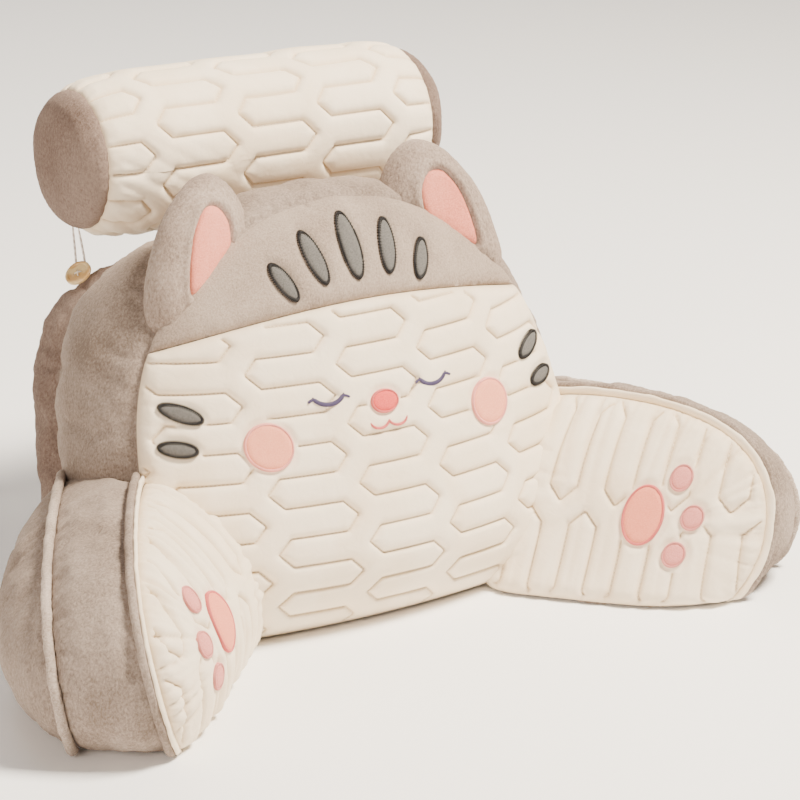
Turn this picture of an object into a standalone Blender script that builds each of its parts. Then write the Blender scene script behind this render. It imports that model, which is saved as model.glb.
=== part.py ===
"""Reading pillow with arms: a reclined back cushion, two splayed arms, ears and a button-on neck roll.

Metres, +Z up. The pillow stands on z = 0 and its sitter looks along -Y. The sheets of quilting are flat
triangle nets, cut along their stitch lines. They are laid on the curved faces of the filled bodies, with the
pads between the lines raised.
"""
import math

import bmesh
import bpy
import numpy as np
from mathutils import Matrix, Vector
from mathutils.bvhtree import BVHTree
from mathutils.geometry import delaunay_2d_cdt

# ---------------------------------------------------------------- driving dimensions
CENTRE_Y = 0.170          # middle of the whole depth, brought to y = 0
GAP = 0.0008              # clearance between pieces that are sewn to each other
TRIM_GAP = 0.00096        # clearance of the shape that trims what is sewn to the back cushion
SINK = 0.0009             # the filling lies this much lower under a panel, away from its seam

BACK_LEAN = 0.41          # backward run of the front face per metre of height
BACK_BOW = 0.95           # how fast the front face falls back to its sides, per metre
BACK_TUCK = 0.028         # how far the front seam is drawn back at the top
TUCK_FROM = 0.78          # share of the way to the seam at which that begins
TUCK_LOW = 0.15           # share of it that is left at the floor
FOOT_TUCK = 0.045         # how far the foot of the front face is drawn back
FOOT_STRAIGHT = 0.026     # how much farther in its middle, which straightens its edge on the floor
FOOT_HIGH = 0.118         # height up to which it is drawn back
REAR_BASE = 0.170         # depth of the back seam at the floor
REAR_LEAN = 0.39
REAR_BOW = 1.05
SIDE_SWELL = 0.019        # crown of the side band between its two seams
SIDE_ROWS = [0.12, 0.35, 0.65, 0.88]   # share of the way from the front seam to the back one
FLOOR_RISE = 0.02         # height over which a swelling begins above the floor
# half outlines of the front and back seams, from the floor to the top middle: (x, z)
FRONT_SEAM = [(0.248, 0.0), (0.254, 0.09), (0.250, 0.17), (0.236, 0.245), (0.204, 0.308), (0.142, 0.365),
              (0.072, 0.400), (0.0, 0.412)]
BACK_SEAM = [(0.252, 0.0), (0.257, 0.09), (0.250, 0.17), (0.235, 0.247), (0.203, 0.300), (0.143, 0.336),
             (0.072, 0.354), (0.0, 0.359)]
ARCH_STEPS = 4            # steps between two points of an outline
# rows of the front face, each as its share of the way from the floor middle to the seam
FRONT_ROWS = [0.0, 0.1, 0.2, 0.34, 0.52, 0.68, 0.78, 0.85, 0.91, 0.96, 1.0]
BACK_SWELL = [(1.0, 0.0), (1.035, 0.014), (1.055, 0.032), (1.03, 0.053), (0.90, 0.069), (0.62, 0.079),
              (0.3, 0.084), (0.0, 0.085)]                      # (share, depth behind the back seam)
BACK_THIN = 0.62          # share by which that swelling is less at the top, under the roll

ARM_ROOT = (0.245, 0.060)  # where the arm's seam line meets the floor at the cushion's edge
ARM_SPLAY = math.radians(30)
ARM_THICK = 0.094         # width of the plush band over the arm
ARM_LEAN = 0.23           # how far the arm's top leans outward, per metre of height
ARM_PUFF_OUT = -0.086     # place of the puffed inner face at the root, and its slopes along and up
ARM_PUFF_ALONG = 0.25
ARM_PUFF_UP = 0.38
ARM_PUFF_EDGE = 5         # how squarely it turns out to its seam
# inner seam of the arm, from its tip on the floor over the arch and down inside the cushion: (along, z)
ARM_ARCH = [(0.160, 0.0), (0.176, 0.022), (0.187, 0.060), (0.184, 0.105), (0.166, 0.138), (0.134, 0.162),
            (0.090, 0.175), (0.040, 0.180), (-0.020, 0.178), (-0.070, 0.168), (-0.098, 0.140), (-0.105, 0.070),
            (-0.105, 0.0)]
ARM_STEPS = 3
ARM_REAR = -0.105
ARM_REAR_OUTER = -0.195   # the outer seam runs on to the cushion's back seam
ARM_DROP = 0.17           # share by which the outer arch is lower than the inner one
ARM_OUTER_BACK = 0.10     # how far the outer arch leans back, per metre of height
ARM_OUTER_LEAN = 0.16     # how much farther out its top is, per metre of height
ARM_SWELL = 0.009         # crown of the plush band between its two seams
ARM_BAND_ROWS = [0.10, 0.32, 0.68, 0.90]
ARM_BULGE = 0.072         # crown of the outer face
ARM_FULL = 3.4            # how squarely the outer face is filled towards its seam
ARM_STRETCH_RUN = 0.09    # length over which the drawing out begins
ARM_STRETCH = {-1: 0.11, 1: 0.0}       # the left arm is pulled a little longer than the right one
ARM_FOOT = {-1: 0.036, 1: -0.014}      # how far the inner face's foot is drawn under, or stands forward
ARM_FOOT_HIGH = 0.095     # height up to which it does
ARM_DRAW_IN = 0.38        # share by which the outer face is flatter at the floor
ARM_ROWS = [0.0, 0.3, 0.5, 0.64, 0.74, 0.82, 0.88, 0.93, 0.97, 1.0]
ARM_OUTER_ROWS = [1.0, 0.95, 0.86, 0.70, 0.45, 0.2, 0.0]
ARM_PANEL_REAR = -0.075   # where the arm's quilting ends, inside the back cushion's outline
ARM_QUILT_SHIFT = 0.040   # height of the middle of its first column of stitching

FLANGE_HIGH = 0.011       # height of the cream seam allowance; the plush one is lower and thicker
FLANGE_HALF = 0.0019      # half its thickness
FLANGE_FOOT = 0.0014      # its clearance above its seam
PLUSH_FLANGE = (0.0027, 0.85, 1.3)     # clearance, share of the height and share of the thickness
FLANGE_WAVE = 0.10        # share by which its height varies
FLANGE_SWAY = 0.0007      # how far it leans to and fro
FLANGE_SPAN = slice(1, -3)             # stretch of the arm's outline that it stands on

QUILT_RUN = 0.0277        # distance between two runs of stitching
QUILT_COLUMN = 0.094      # width of one column of stitching, with its zigzag gap
QUILT_TIP = 0.0435        # half width of a column at its points
QUILT_STRAIGHT = 0.0295   # half length of a straight run
QUILT_BASE = 0.0030       # thickness on a stitch line
QUILT_PUFF = 0.0048       # how far a pad stands above its stitch lines
QUILT_SLOPE = 0.010       # distance over which a pad rises from its stitches
QUILT_EDGE = 0.012        # distance over which the pads flatten at a border
QUILT_CLEAR = 0.0065      # distance at which stitching ends before a border
QUILT_NET = 0.013         # spacing of a panel's border points
PANEL_THICK = 0.0040      # smooth plush panel
PANEL_FLOOR = 0.0030      # height of the panels' lower edge
PANEL_SHARE = 0.985       # size of the panels, as a share of their seam's outline
FRONT_ROOM = QUILT_BASE + QUILT_PUFF + 0.0028    # space that the front panels take on the cushion
CROWN_EDGE = 0.318        # height of the crown panel's lower edge in the middle
CROWN_FALL = 0.70         # how fast that edge falls to the sides, per metre
CROWN_GAP = 0.0005        # half the gap between the two panels
CROWN_APART = 0.005       # least distance of their outlines' other points from that edge

ROLL_LONG = 0.388
ROLL_RADIUS = 0.0785      # on a stitch line in the middle
ROLL_END = 0.0695         # radius of the seam with the end discs
ROLL_ROUND = 0.062        # length over which the roll tapers to that seam
ROLL_AT = (0.006, 0.377, 0.4275)      # middle of its axis, before the whole is centred
ROLL_YAW = math.radians(0.5)
ROLL_DROP = math.radians(0.7)
ROLL_RUNS = 16            # runs of stitching round it
CAP_DOME = 0.025
# section of an end disc: (share of its radius, share of its dome)
CAP_ROWS = [(1.0, 0.0), (1.015, 0.16), (0.965, 0.46), (0.80, 0.84), (0.46, 1.0), (0.15, 0.97)]
CAP_PUCKER = 0.0009       # depth of the soft folds round the disc

EAR_BASE = ((0.077, 0.213, 0.381), (0.202, 0.176, 0.301))      # inner and outer ends of the sewn edge
EAR_RISE = (0.009, 0.032, 0.088)                               # from the middle of that edge to the tip
EAR_THICK = 0.021         # half thickness in the middle
EAR_RIM = 0.0016          # half thickness at the edge
EAR_ROOT = 0.12           # how far the ear runs down behind its sewn edge, as a share of its rise
EAR_CUP = 0.040           # how much its sides curl forward, per share across squared
EAR_TILT = 0.006          # how far its tip leans back
LINING_THICK = 0.0026
LINING_CLEAR = 0.0006
# outline of an ear: (share along the base from its middle, share of the rise)
EAR_OUTLINE = [(-0.45, -0.12), (-0.50, 0.12), (-0.45, 0.42), (-0.36, 0.70), (-0.22, 0.93), (-0.03, 1.03),
               (0.17, 0.97), (0.35, 0.78), (0.48, 0.48), (0.53, 0.16), (0.44, -0.12)]
EAR_ROWS = [0.0, 0.45, 0.75, 0.92, 1.0]
LINING_OUTLINE = [(-0.28, 0.02), (-0.26, 0.32), (-0.18, 0.58), (-0.04, 0.74), (0.10, 0.62), (0.21, 0.35),
                  (0.29, 0.02)]

BUTTON_RADIUS = 0.0145
BUTTON_THICK = 0.0042
BUTTON_RIM = 0.0028       # width of the raised rim
BUTTON_DISH = 0.0012      # depth of the dish inside it
BUTTON_EASE = 0.0010      # rounding of its edges
BUTTON_HOLE = 0.0013
BUTTON_SPREAD = 0.0036    # from the middle to a hole
SHANK_RADIUS = 0.0032
LOOP_RADIUS = 0.0013
LOOP_CLEAR = 0.0006       # its clearance to the shank and the cushion
LOOP_IN = 0.004           # distance of its ends from the roll's end seam, and their height over that seam
LOOP_OFF = 0.0040
LOOP_SWINGS = (-0.10, -0.28)           # turns of its two ends from the roll's lowest line, in radians
BUTTON_AT = (0.217, 0.345, 0.337)      # a point in front of the shoulder that the button is sewn to

PATCH_THICK = 0.0014
PATCH_SIDES = 18
PATCH_CLEAR = 0.0006      # height of a patch above its bed
BED_MARGIN = 0.0035       # how much wider the level bed under a patch is
BED_SHARE = 0.75          # its height, as a share of the pads'
QUILT_BED = GAP + QUILT_BASE + BED_SHARE * QUILT_PUFF
# rounded patches: (name, across, up, half width, half height, turn in degrees)
FACE_PATCHES = [("nose", 0.0, 0.222, 0.0150, 0.0105, 0), ("cheek_left", -0.128, 0.196, 0.0235, 0.0215, 0),
                ("cheek_right", 0.128, 0.196, 0.0235, 0.0215, 0)]
CROWN_PATCHES = [("stripe_middle", 0.0, 0.366, 0.0105, 0.0290, 0),
                 ("stripe_left_inner", -0.042, 0.360, 0.0090, 0.0240, 14),
                 ("stripe_right_inner", 0.042, 0.360, 0.0090, 0.0240, -14),
                 ("stripe_left_outer", -0.079, 0.342, 0.0080, 0.0185, 28),
                 ("stripe_right_outer", 0.079, 0.342, 0.0080, 0.0185, -28)]
SIDE_PATCHES = [("stripe_left_upper", -0.202, 0.232, 0.0185, 0.0078, -20),
                ("stripe_left_lower", -0.211, 0.200, 0.0165, 0.0072, -6),
                ("stripe_right_upper", 0.202, 0.232, 0.0185, 0.0078, 20),
                ("stripe_right_lower", 0.211, 0.200, 0.0165, 0.0072, 6)]
PAW_PATCHES = [("paw_pad", 0.071, 0.084, 0.0195, 0.0275, 0),
               ("paw_toe_top", 0.1000, 0.1200, 0.0105, 0.0115, 0),
               ("paw_toe_middle", 0.1180, 0.0850, 0.0105, 0.0115, 0),
               ("paw_toe_low", 0.1080, 0.0500, 0.0105, 0.0115, 0)]

COLOURS = {
    "quilt_cream": ((0.86, 0.78, 0.66), 0.85),
    "plush_grey": ((0.42, 0.35, 0.31), 0.95),
    "plush_pink": ((0.80, 0.38, 0.32), 0.90),
    "patch_grey": ((0.22, 0.21, 0.21), 0.90),
    "patch_pink": ((0.86, 0.42, 0.36), 0.90),
    "patch_rose": ((0.72, 0.20, 0.20), 0.90),
    "wood_button": ((0.72, 0.52, 0.30), 0.55),
    "elastic_white": ((0.75, 0.73, 0.70), 0.80),
}


# ---------------------------------------------------------------- scene and meshes
def clear_scene():
    for thing in list(bpy.data.objects):
        bpy.data.objects.remove(thing)


def make_collection(name):
    group = bpy.data.collections.new(name)
    bpy.context.scene.collection.children.link(group)
    return group


def make_material(name):
    colour, roughness = COLOURS[name]
    material = bpy.data.materials.new(name)
    material.use_nodes = True
    shader = material.node_tree.nodes["Principled BSDF"]
    shader.inputs["Base Color"].default_value = (*colour, 1.0)
    shader.inputs["Roughness"].default_value = roughness
    shader.inputs["Metallic"].default_value = 0.0
    return material


def add_mesh(name, verts, faces, material, group):
    """Makes an object of hand-lofted faces, closed and with its faces pointing out."""
    mesh = bpy.data.meshes.new(name)
    mesh.from_pydata([tuple(v) for v in verts], [], faces)
    net = bmesh.new()
    net.from_mesh(mesh)
    bmesh.ops.remove_doubles(net, verts=net.verts, dist=0.00001)
    bmesh.ops.dissolve_degenerate(net, edges=net.edges, dist=0.00001)
    bmesh.ops.triangulate(net, faces=net.faces, quad_method="FIXED")
    bmesh.ops.recalc_face_normals(net, faces=net.faces)
    net.to_mesh(mesh)
    net.free()
    mesh.shade_smooth()
    piece = bpy.data.objects.new(name, mesh)
    group.objects.link(piece)
    if material:
        mesh.materials.append(material)
    return piece


def apply_modifiers(piece):
    """Turns a piece with modifiers into a plain mesh."""
    depsgraph = bpy.context.evaluated_depsgraph_get()
    mesh = bpy.data.meshes.new_from_object(piece.evaluated_get(depsgraph))
    piece.modifiers.clear()
    piece.data = mesh


def cut(piece, cutter):
    """Trims a piece where the cutter stands, and keeps the cut surface clean."""
    trim = piece.modifiers.new("trim", "BOOLEAN")
    trim.operation = "DIFFERENCE"
    trim.solver = "EXACT"
    trim.object = cutter
    apply_modifiers(piece)
    net = bmesh.new()
    net.from_mesh(piece.data)
    bmesh.ops.remove_doubles(net, verts=net.verts, dist=0.000002)
    bmesh.ops.dissolve_degenerate(net, edges=net.edges, dist=0.000005)
    bmesh.ops.triangulate(net, faces=net.faces)
    net.to_mesh(piece.data)
    net.free()


# ---------------------------------------------------------------- outlines
def smooth_line(points, steps):
    """A Catmull-Rom curve through the points, with the given number of steps between two of them."""
    ends = [2 * np.array(points[0]) - np.array(points[1]), 2 * np.array(points[-1]) - np.array(points[-2])]
    knots = [ends[0]] + [np.array(p, float) for p in points] + [ends[1]]
    line = []
    for a, b, c, d in zip(knots, knots[1:], knots[2:], knots[3:]):
        for step in range(steps):
            t = step / steps
            line.append(0.5 * (2 * b + (c - a) * t + (2 * a - 5 * b + 4 * c - d) * t ** 2
                               + (3 * b - a - 3 * c + d) * t ** 3))
    line.append(knots[-2])
    line = np.array(line)
    line[:, -1] = np.maximum(line[:, -1], 0.0)
    return line


def mirror_arch(half, steps):
    """A whole arch, from the floor on the right over the top to the floor on the left."""
    right = smooth_line(half, steps)
    left = right[::-1][1:] * np.array([-1.0, 1.0])
    return np.vstack([right, left])


def reach(arch, across, up):
    """Distance from the floor middle to an arch in the direction of a point."""
    turn = np.arctan2(arch[:, 1], arch[:, 0])
    order = np.argsort(turn)
    return np.interp(math.atan2(max(up, 0.0), across), turn[order], np.hypot(arch[:, 0], arch[:, 1])[order])


def share_of(arch, across, up):
    return math.hypot(across, up) / reach(arch, across, up)


def outward(arch):
    """Unit directions out of an arch at each of its points."""
    along = np.gradient(arch, axis=0)
    side = np.stack([along[:, 1], -along[:, 0]], axis=1)
    return side / np.linalg.norm(side, axis=1)[:, None]


FRONT_ARCH = mirror_arch(FRONT_SEAM, ARCH_STEPS)
BACK_ARCH = mirror_arch(BACK_SEAM, ARCH_STEPS)
ARM_OUTLINE = smooth_line(ARM_ARCH, ARM_STEPS)


# ---------------------------------------------------------------- curved faces
def front_point(across, up, lift):
    """A point on the reclined front face; lift is the distance above it."""
    share = share_of(FRONT_ARCH, across, up)
    edge = max(0.0, (share - TUCK_FROM) / (1 - TUCK_FROM)) ** 2
    tuck = BACK_TUCK * (TUCK_LOW + (1 - TUCK_LOW) * (up / FRONT_SEAM[-1][1]) ** 2) * edge
    foot = FOOT_TUCK + FOOT_STRAIGHT * max(0.0, 1 - (across / FRONT_SEAM[0][0]) ** 2)
    tuck += foot * max(0.0, 1 - up / FOOT_HIGH) ** 2
    depth = BACK_LEAN * up + BACK_BOW * across ** 2 + tuck - CENTRE_Y
    normal = Vector((2 * BACK_BOW * across, -1.0, BACK_LEAN)).normalized()
    return Vector((across, depth, up)) + normal * lift


def rear_depth(across, up):
    return REAR_BASE + REAR_LEAN * up + REAR_BOW * across ** 2 - CENTRE_Y


def arm_frame(side):
    """Origin, direction along the arm and direction out of it, on the floor."""
    root = Vector((side * ARM_ROOT[0], ARM_ROOT[1] - CENTRE_Y, 0.0))
    along = Vector((side * math.sin(ARM_SPLAY), -math.cos(ARM_SPLAY), 0.0))
    out = Vector((side * math.cos(ARM_SPLAY), math.sin(ARM_SPLAY), 0.0))
    return root, along, out


def stretched(side, along):
    """A length along the arm, drawn out in front of its root."""
    return along * (1 + ARM_STRETCH[side] * min(1.0, max(0.0, along / ARM_STRETCH_RUN)))


def inner_offset(side, along, up):
    """How far out the arm's inner face lies: low and puffed near the sitter, drawn out to its seam."""
    foot = ARM_FOOT[side] * max(0.0, 1 - up / ARM_FOOT_HIGH) ** 2
    puffed = ARM_PUFF_OUT + ARM_PUFF_ALONG * along + ARM_PUFF_UP * up + foot
    seam = ARM_LEAN * up + min(0.0, foot)
    share = min(1.0, share_of(ARM_OUTLINE, along, up))
    return puffed + (seam - puffed) * share ** ARM_PUFF_EDGE


def arm_point(side, along, up, lift):
    """A point on an arm's inner face; lift is the distance towards the sitter."""
    root, run, out = arm_frame(side)
    step = 0.002
    base = inner_offset(side, along, up)
    slope_along = (inner_offset(side, along + step, up) - inner_offset(side, along - step, up)) / (2 * step)
    low = max(0.0, up - step)
    slope_up = (inner_offset(side, along, up + step) - inner_offset(side, along, low)) / (up + step - low)
    normal = (-out + run * slope_along + Vector((0, 0, 1)) * slope_up).normalized()
    place = root + run * stretched(side, along) + out * base + Vector((0, 0, up)) + normal * lift
    return Vector((place.x, place.y, max(place.z, 0.0)))


# ---------------------------------------------------------------- filled bodies that stand on the floor
def floor_loft(name, rows, material, group):
    """Joins rows of points that each start and end on the floor, and closes the flat base."""
    count = len(rows[0])
    verts = [point for row in rows for point in row]
    faces = []
    for low in range(len(rows) - 1):
        for k in range(count - 1):
            a = low * count + k
            faces.append((a, a + 1, a + count + 1, a + count))
    starts = [row * count for row in range(len(rows))]
    ends = [row * count + count - 1 for row in reversed(range(len(rows)))]
    base = starts + ends[1:-1] if rows[0][0] == rows[0][-1] else starts + ends
    faces.append(tuple(base))
    return add_mesh(name, verts, faces, material, group)


def cushion_rows(room, grow, sole):
    """Rows of the back cushion, from the front middle over the side band to the back middle.

    For the trimming shape, room lifts the front face, grow widens the rest and sole drops each row's ends.
    """
    def finish(row):
        row = [Vector((p.x, p.y, max(p.z, 0.0))) for p in row]
        if not sole:
            return row
        return [row[0] - Vector((0, 0, sole))] + row + [row[-1] - Vector((0, 0, sole))]

    front_out = outward(FRONT_ARCH)
    rows = []
    for share in FRONT_ROWS:
        edge = grow * share
        lift = room - (SINK if share < 1 else 0.0)
        rows.append(finish([front_point((x + u * edge) * share, max(0.0, (z + w * edge)) * share, lift)
                            for (x, z), (u, w) in zip(FRONT_ARCH, front_out)]))
    rear_out = outward(BACK_ARCH)
    for t in SIDE_ROWS:
        row = []
        swell = SIDE_SWELL * math.sin(math.pi * t) ** 0.7 + grow
        for (x, z), (u, w), (bx, bz), (bu, bw) in zip(FRONT_ARCH, front_out, BACK_ARCH, rear_out):
            front = front_point(x, z, 0.0)
            rear = Vector((bx, rear_depth(bx, bz), bz))
            place = front.lerp(rear, t)
            side = Vector((u, 0, w)).lerp(Vector((bu, 0, bw)), t) * swell
            rise = side.z * min(1.0, z / FLOOR_RISE)
            row.append(Vector((place.x + side.x, place.y, max(0.0, place.z + rise))))
        rows.append(finish(row))
    for share, depth in BACK_SWELL:
        row = []
        for (x, z), (u, w) in zip(BACK_ARCH, rear_out):
            top = (z / BACK_SEAM[-1][1]) ** 3
            swell = share - (share - 1) * top if share > 1 else share
            fill = depth * (1 - BACK_THIN * top * share)
            across = (x + u * grow) * swell
            up = max(0.0, z + w * grow) * swell
            row.append(Vector((across, rear_depth(across, up) + fill + (grow if depth else 0.0), up)))
        rows.append(finish(row))
    return rows


def make_cushion(material, group):
    return floor_loft("back_cushion", cushion_rows(0.0, 0.0, 0.0), material, group)


def make_trimmer(group):
    """The cushion with its front panels, a little larger, used to trim what is sewn to it."""
    cutter = floor_loft("trimming_shape", cushion_rows(FRONT_ROOM, TRIM_GAP, 0.02), None, group)
    cutter.hide_render = True
    cutter.display_type = "WIRE"
    return cutter


def outer_outline():
    """The arm's outer seam, as (along, z, out): lower than the inner one and longer to the rear."""
    front = max(along for along, up in ARM_ARCH)
    line = []
    for along, up in ARM_OUTLINE:
        rear_share = (front - along) / (front - ARM_REAR)
        place = along + (ARM_REAR_OUTER - ARM_REAR) * rear_share - ARM_OUTER_BACK * up * (1 - rear_share)
        line.append((place, up * (1 - ARM_DROP), ARM_THICK + ARM_OUTER_LEAN * up))
    return line


def arm_rows(side):
    root, run, out = arm_frame(side)
    rows = []
    for share in ARM_ROWS:
        lift = -2 * SINK if share < 1 else 0.0
        rows.append([arm_point(side, along * share, up * share, lift) for along, up in ARM_OUTLINE])
    seam = rows[-1]
    outer = outer_outline()
    for t in ARM_BAND_ROWS:
        row = []
        for inner, (along, up, away), (u, w) in zip(seam, outer, outward(ARM_OUTLINE)):
            far = root + run * stretched(side, along) + out * away + Vector((0, 0, up))
            swell = ARM_SWELL * math.sin(math.pi * t) ** 0.8
            lift = (run * u + Vector((0, 0, w))) * swell * min(1.0, up / FLOOR_RISE)
            place = inner.lerp(far, t) + lift
            row.append(Vector((place.x, place.y, max(0.0, place.z))))
        rows.append(row)
    for share in ARM_OUTER_ROWS:
        row = []
        for along, up, away in outer:
            foot = max(0.0, 1 - up * share / ARM_FOOT_HIGH) ** 2
            crown = ARM_BULGE * (1 - share ** ARM_FULL) * (1 - ARM_DRAW_IN * foot)
            swelled = out * (ARM_THICK + (away - ARM_THICK) * share + crown)
            row.append(root + run * stretched(side, along * share) + swelled + Vector((0, 0, up * share)))
        rows.append(row)
    return rows


def make_arm(side, word, material, group, cutter):
    arm = floor_loft(f"arm_{word}", arm_rows(side), material, group)
    cut(arm, cutter)
    return arm


# ---------------------------------------------------------------- seam allowances
def make_fin(name, path, outs, sides, foot, high, half, material, group, cutter):
    """A raised seam allowance: a thin strip that stands on a seam, with softly uneven height."""
    verts = []
    for k, (place, away, side) in enumerate(zip(path, outs, sides)):
        top = high * (1 + FLANGE_WAVE * math.sin(1.7 * k))
        sway = FLANGE_SWAY * math.sin(0.9 * k)
        for rise, offset in ((foot, -half * 0.6), (top, -half), (top, half), (foot, half * 0.6)):
            spot = place + away * rise + side * (offset + sway)
            verts.append(Vector((spot.x, spot.y, max(GAP / 2, spot.z))))
    faces = [(0, 1, 2, 3), tuple(len(verts) - 4 + i for i in (3, 2, 1, 0))]
    for k in range(len(path) - 1):
        for i in range(4):
            a, b = 4 * k + i, 4 * k + (i + 1) % 4
            faces.append((a, b, b + 4, a + 4))
    fin = add_mesh(name, verts, faces, material, group)
    cut(fin, cutter)
    return fin


def make_flanges(side, word, materials, group, cutter):
    root, run, out = arm_frame(side)
    away = [run * u + Vector((0, 0, w)) for u, w in outward(ARM_OUTLINE)[FLANGE_SPAN]]
    inner = [arm_point(side, along, up, 0.0) for along, up in ARM_OUTLINE[FLANGE_SPAN]]
    outer = [root + run * stretched(side, along) + out * off + Vector((0, 0, up))
             for along, up, off in outer_outline()[FLANGE_SPAN]]
    sides = [out] * len(inner)
    make_fin(f"inner_flange_{word}", inner, away, sides, FLANGE_FOOT, FLANGE_HIGH, FLANGE_HALF,
             materials["quilt_cream"], group, cutter)
    foot, high, thick = PLUSH_FLANGE
    make_fin(f"outer_flange_{word}", outer, away, sides, foot, FLANGE_HIGH * high, FLANGE_HALF * thick,
             materials["plush_grey"], group, cutter)


# ---------------------------------------------------------------- quilting
def serpentine(column, low, high, shift=0.0):
    """One stitched column: straight runs to and fro, joined by pointed turns."""
    middle = column * QUILT_COLUMN + shift
    first = math.floor(low / QUILT_RUN) - 1
    last = math.ceil(high / QUILT_RUN) + 1
    line = []
    for run in range(first, last):
        way = 1 if run % 2 == 0 else -1
        level = run * QUILT_RUN
        line.append((middle - way * QUILT_STRAIGHT, level))
        line.append((middle, level))
        line.append((middle + way * QUILT_STRAIGHT, level))
        line.append((middle + way * QUILT_TIP, level + QUILT_RUN / 2))
    return line


def pad_crests(column, low, high, shift=0.0):
    """Points along the middle of each pad between two runs."""
    middle = column * QUILT_COLUMN + shift
    first = math.floor(low / QUILT_RUN) - 1
    last = math.ceil(high / QUILT_RUN) + 1
    crests = []
    for run in range(first, last):
        way = 1 if run % 2 == 0 else -1
        level = (run + 0.5) * QUILT_RUN
        crests.append((middle - way * QUILT_STRAIGHT * 1.05, level))
        crests.append((middle, level))
        crests.append((middle + way * QUILT_STRAIGHT * 0.90, level))
    return crests


def edge_distance(border, points):
    """Signed distance of points to a closed border, positive inside."""
    border = np.asarray(border)
    points = np.asarray(points)
    a, b = border, np.roll(border, -1, axis=0)
    d = b - a
    best = np.full(len(points), 1e9)
    inside = np.zeros(len(points), bool)
    for (ax, ay), (dx, dy) in zip(a, d):
        length = dx * dx + dy * dy
        t = np.clip(((points[:, 0] - ax) * dx + (points[:, 1] - ay) * dy) / length, 0, 1)
        best = np.minimum(best, np.hypot(points[:, 0] - ax - t * dx, points[:, 1] - ay - t * dy))
        if dy:
            crosses = (points[:, 1] > ay) != (points[:, 1] > ay + dy)
            inside ^= crosses & (points[:, 0] < ax + dx * (points[:, 1] - ay) / dy)
    return np.where(inside, best, -best)


def clip_line(line, allowed, step=0.004):
    """Cuts a line into the stretches where allowed(points) holds, with its own corners kept."""
    pieces, current = [], []
    for start, end in zip(line, line[1:]):
        start, end = np.array(start), np.array(end)
        parts = max(1, int(np.linalg.norm(end - start) / step))
        spots = [start + (end - start) * i / parts for i in range(parts + 1)]
        ok = allowed(np.array(spots))
        for i, spot in enumerate(spots):
            corner = i in (0, parts)
            if not ok[i]:
                if len(current) > 1:
                    pieces.append(current)
                current = []
            elif not current or corner or (i + 1 < len(spots) and not ok[i + 1]):
                if not current or np.linalg.norm(current[-1] - spot) > 0.0015:
                    current.append(spot)
    if len(current) > 1:
        pieces.append(current)
    return pieces


def net_of(border, lines, spots):
    """A flat triangle net inside a border that keeps the given lines as edges."""
    points = [Vector(p) for p in border]
    edges = []
    for line in lines:
        start = len(points)
        points += [Vector(p) for p in line]
        edges += [(start + i, start + i + 1) for i in range(len(line) - 1)]
    points += [Vector(p) for p in spots]
    verts, _, faces, _, _, _ = delaunay_2d_cdt(points, edges, [list(range(len(border)))], 1, 0.00002)
    return np.array([tuple(v) for v in verts]), [tuple(face) for face in faces]


def grid_spots(border, pitch, margin):
    low, high = np.min(border, axis=0), np.max(border, axis=0)
    rows = []
    for j, y in enumerate(np.arange(low[1] + pitch / 2, high[1], pitch * 0.87)):
        for x in np.arange(low[0] + pitch * (0.5 if j % 2 else 0.25), high[0], pitch):
            rows.append((x, y))
    spots = np.array(rows)
    return [tuple(p) for p in spots[edge_distance(border, spots) > margin]]


def laid_slab(name, border, top, bottom, place, material, group):
    """A sheet with its own net above and below, joined round the same border."""
    (top_spots, top_faces, heights), (low_spots, low_faces, low_lift) = top, bottom
    verts = [place(x, y, h) for (x, y), h in zip(top_spots, heights)]
    shift = len(verts)
    verts += [place(x, y, low_lift) for x, y in low_spots]

    def index_of(spots):
        found = []
        for p in border:
            found.append(int(np.argmin(np.hypot(spots[:, 0] - p[0], spots[:, 1] - p[1]))))
        return found

    rim, foot = index_of(top_spots), index_of(low_spots)
    faces = [tuple(face) for face in top_faces]
    faces += [tuple(shift + i for i in reversed(face)) for face in low_faces]
    for k in range(len(border)):
        n = (k + 1) % len(border)
        faces.append((rim[n], rim[k], shift + foot[k], shift + foot[n]))
    return add_mesh(name, verts, faces, material, group)


def ellipse(patch, grow, count):
    """Outline of a rounded patch, widened all round by grow."""
    _, across, up, wide, high, turn = patch
    c, s = math.cos(math.radians(turn)), math.sin(math.radians(turn))
    line = []
    for k in range(count):
        a = 2 * math.pi * k / count
        x, y = (wide + grow) * math.cos(a), (high + grow) * math.sin(a)
        line.append((across + x * c - y * s, up + x * s + y * c))
    return line


def pad_share(spots, stitches):
    """How far the pads have risen at each spot, from 0 on a stitch line to 1."""
    away = np.min(np.hypot(spots[:, :1] - stitches[:, 0], spots[:, 1:] - stitches[:, 1]), axis=1)
    return np.where(away < GAP, 0.0, np.minimum(1.0, away / QUILT_SLOPE))


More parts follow.
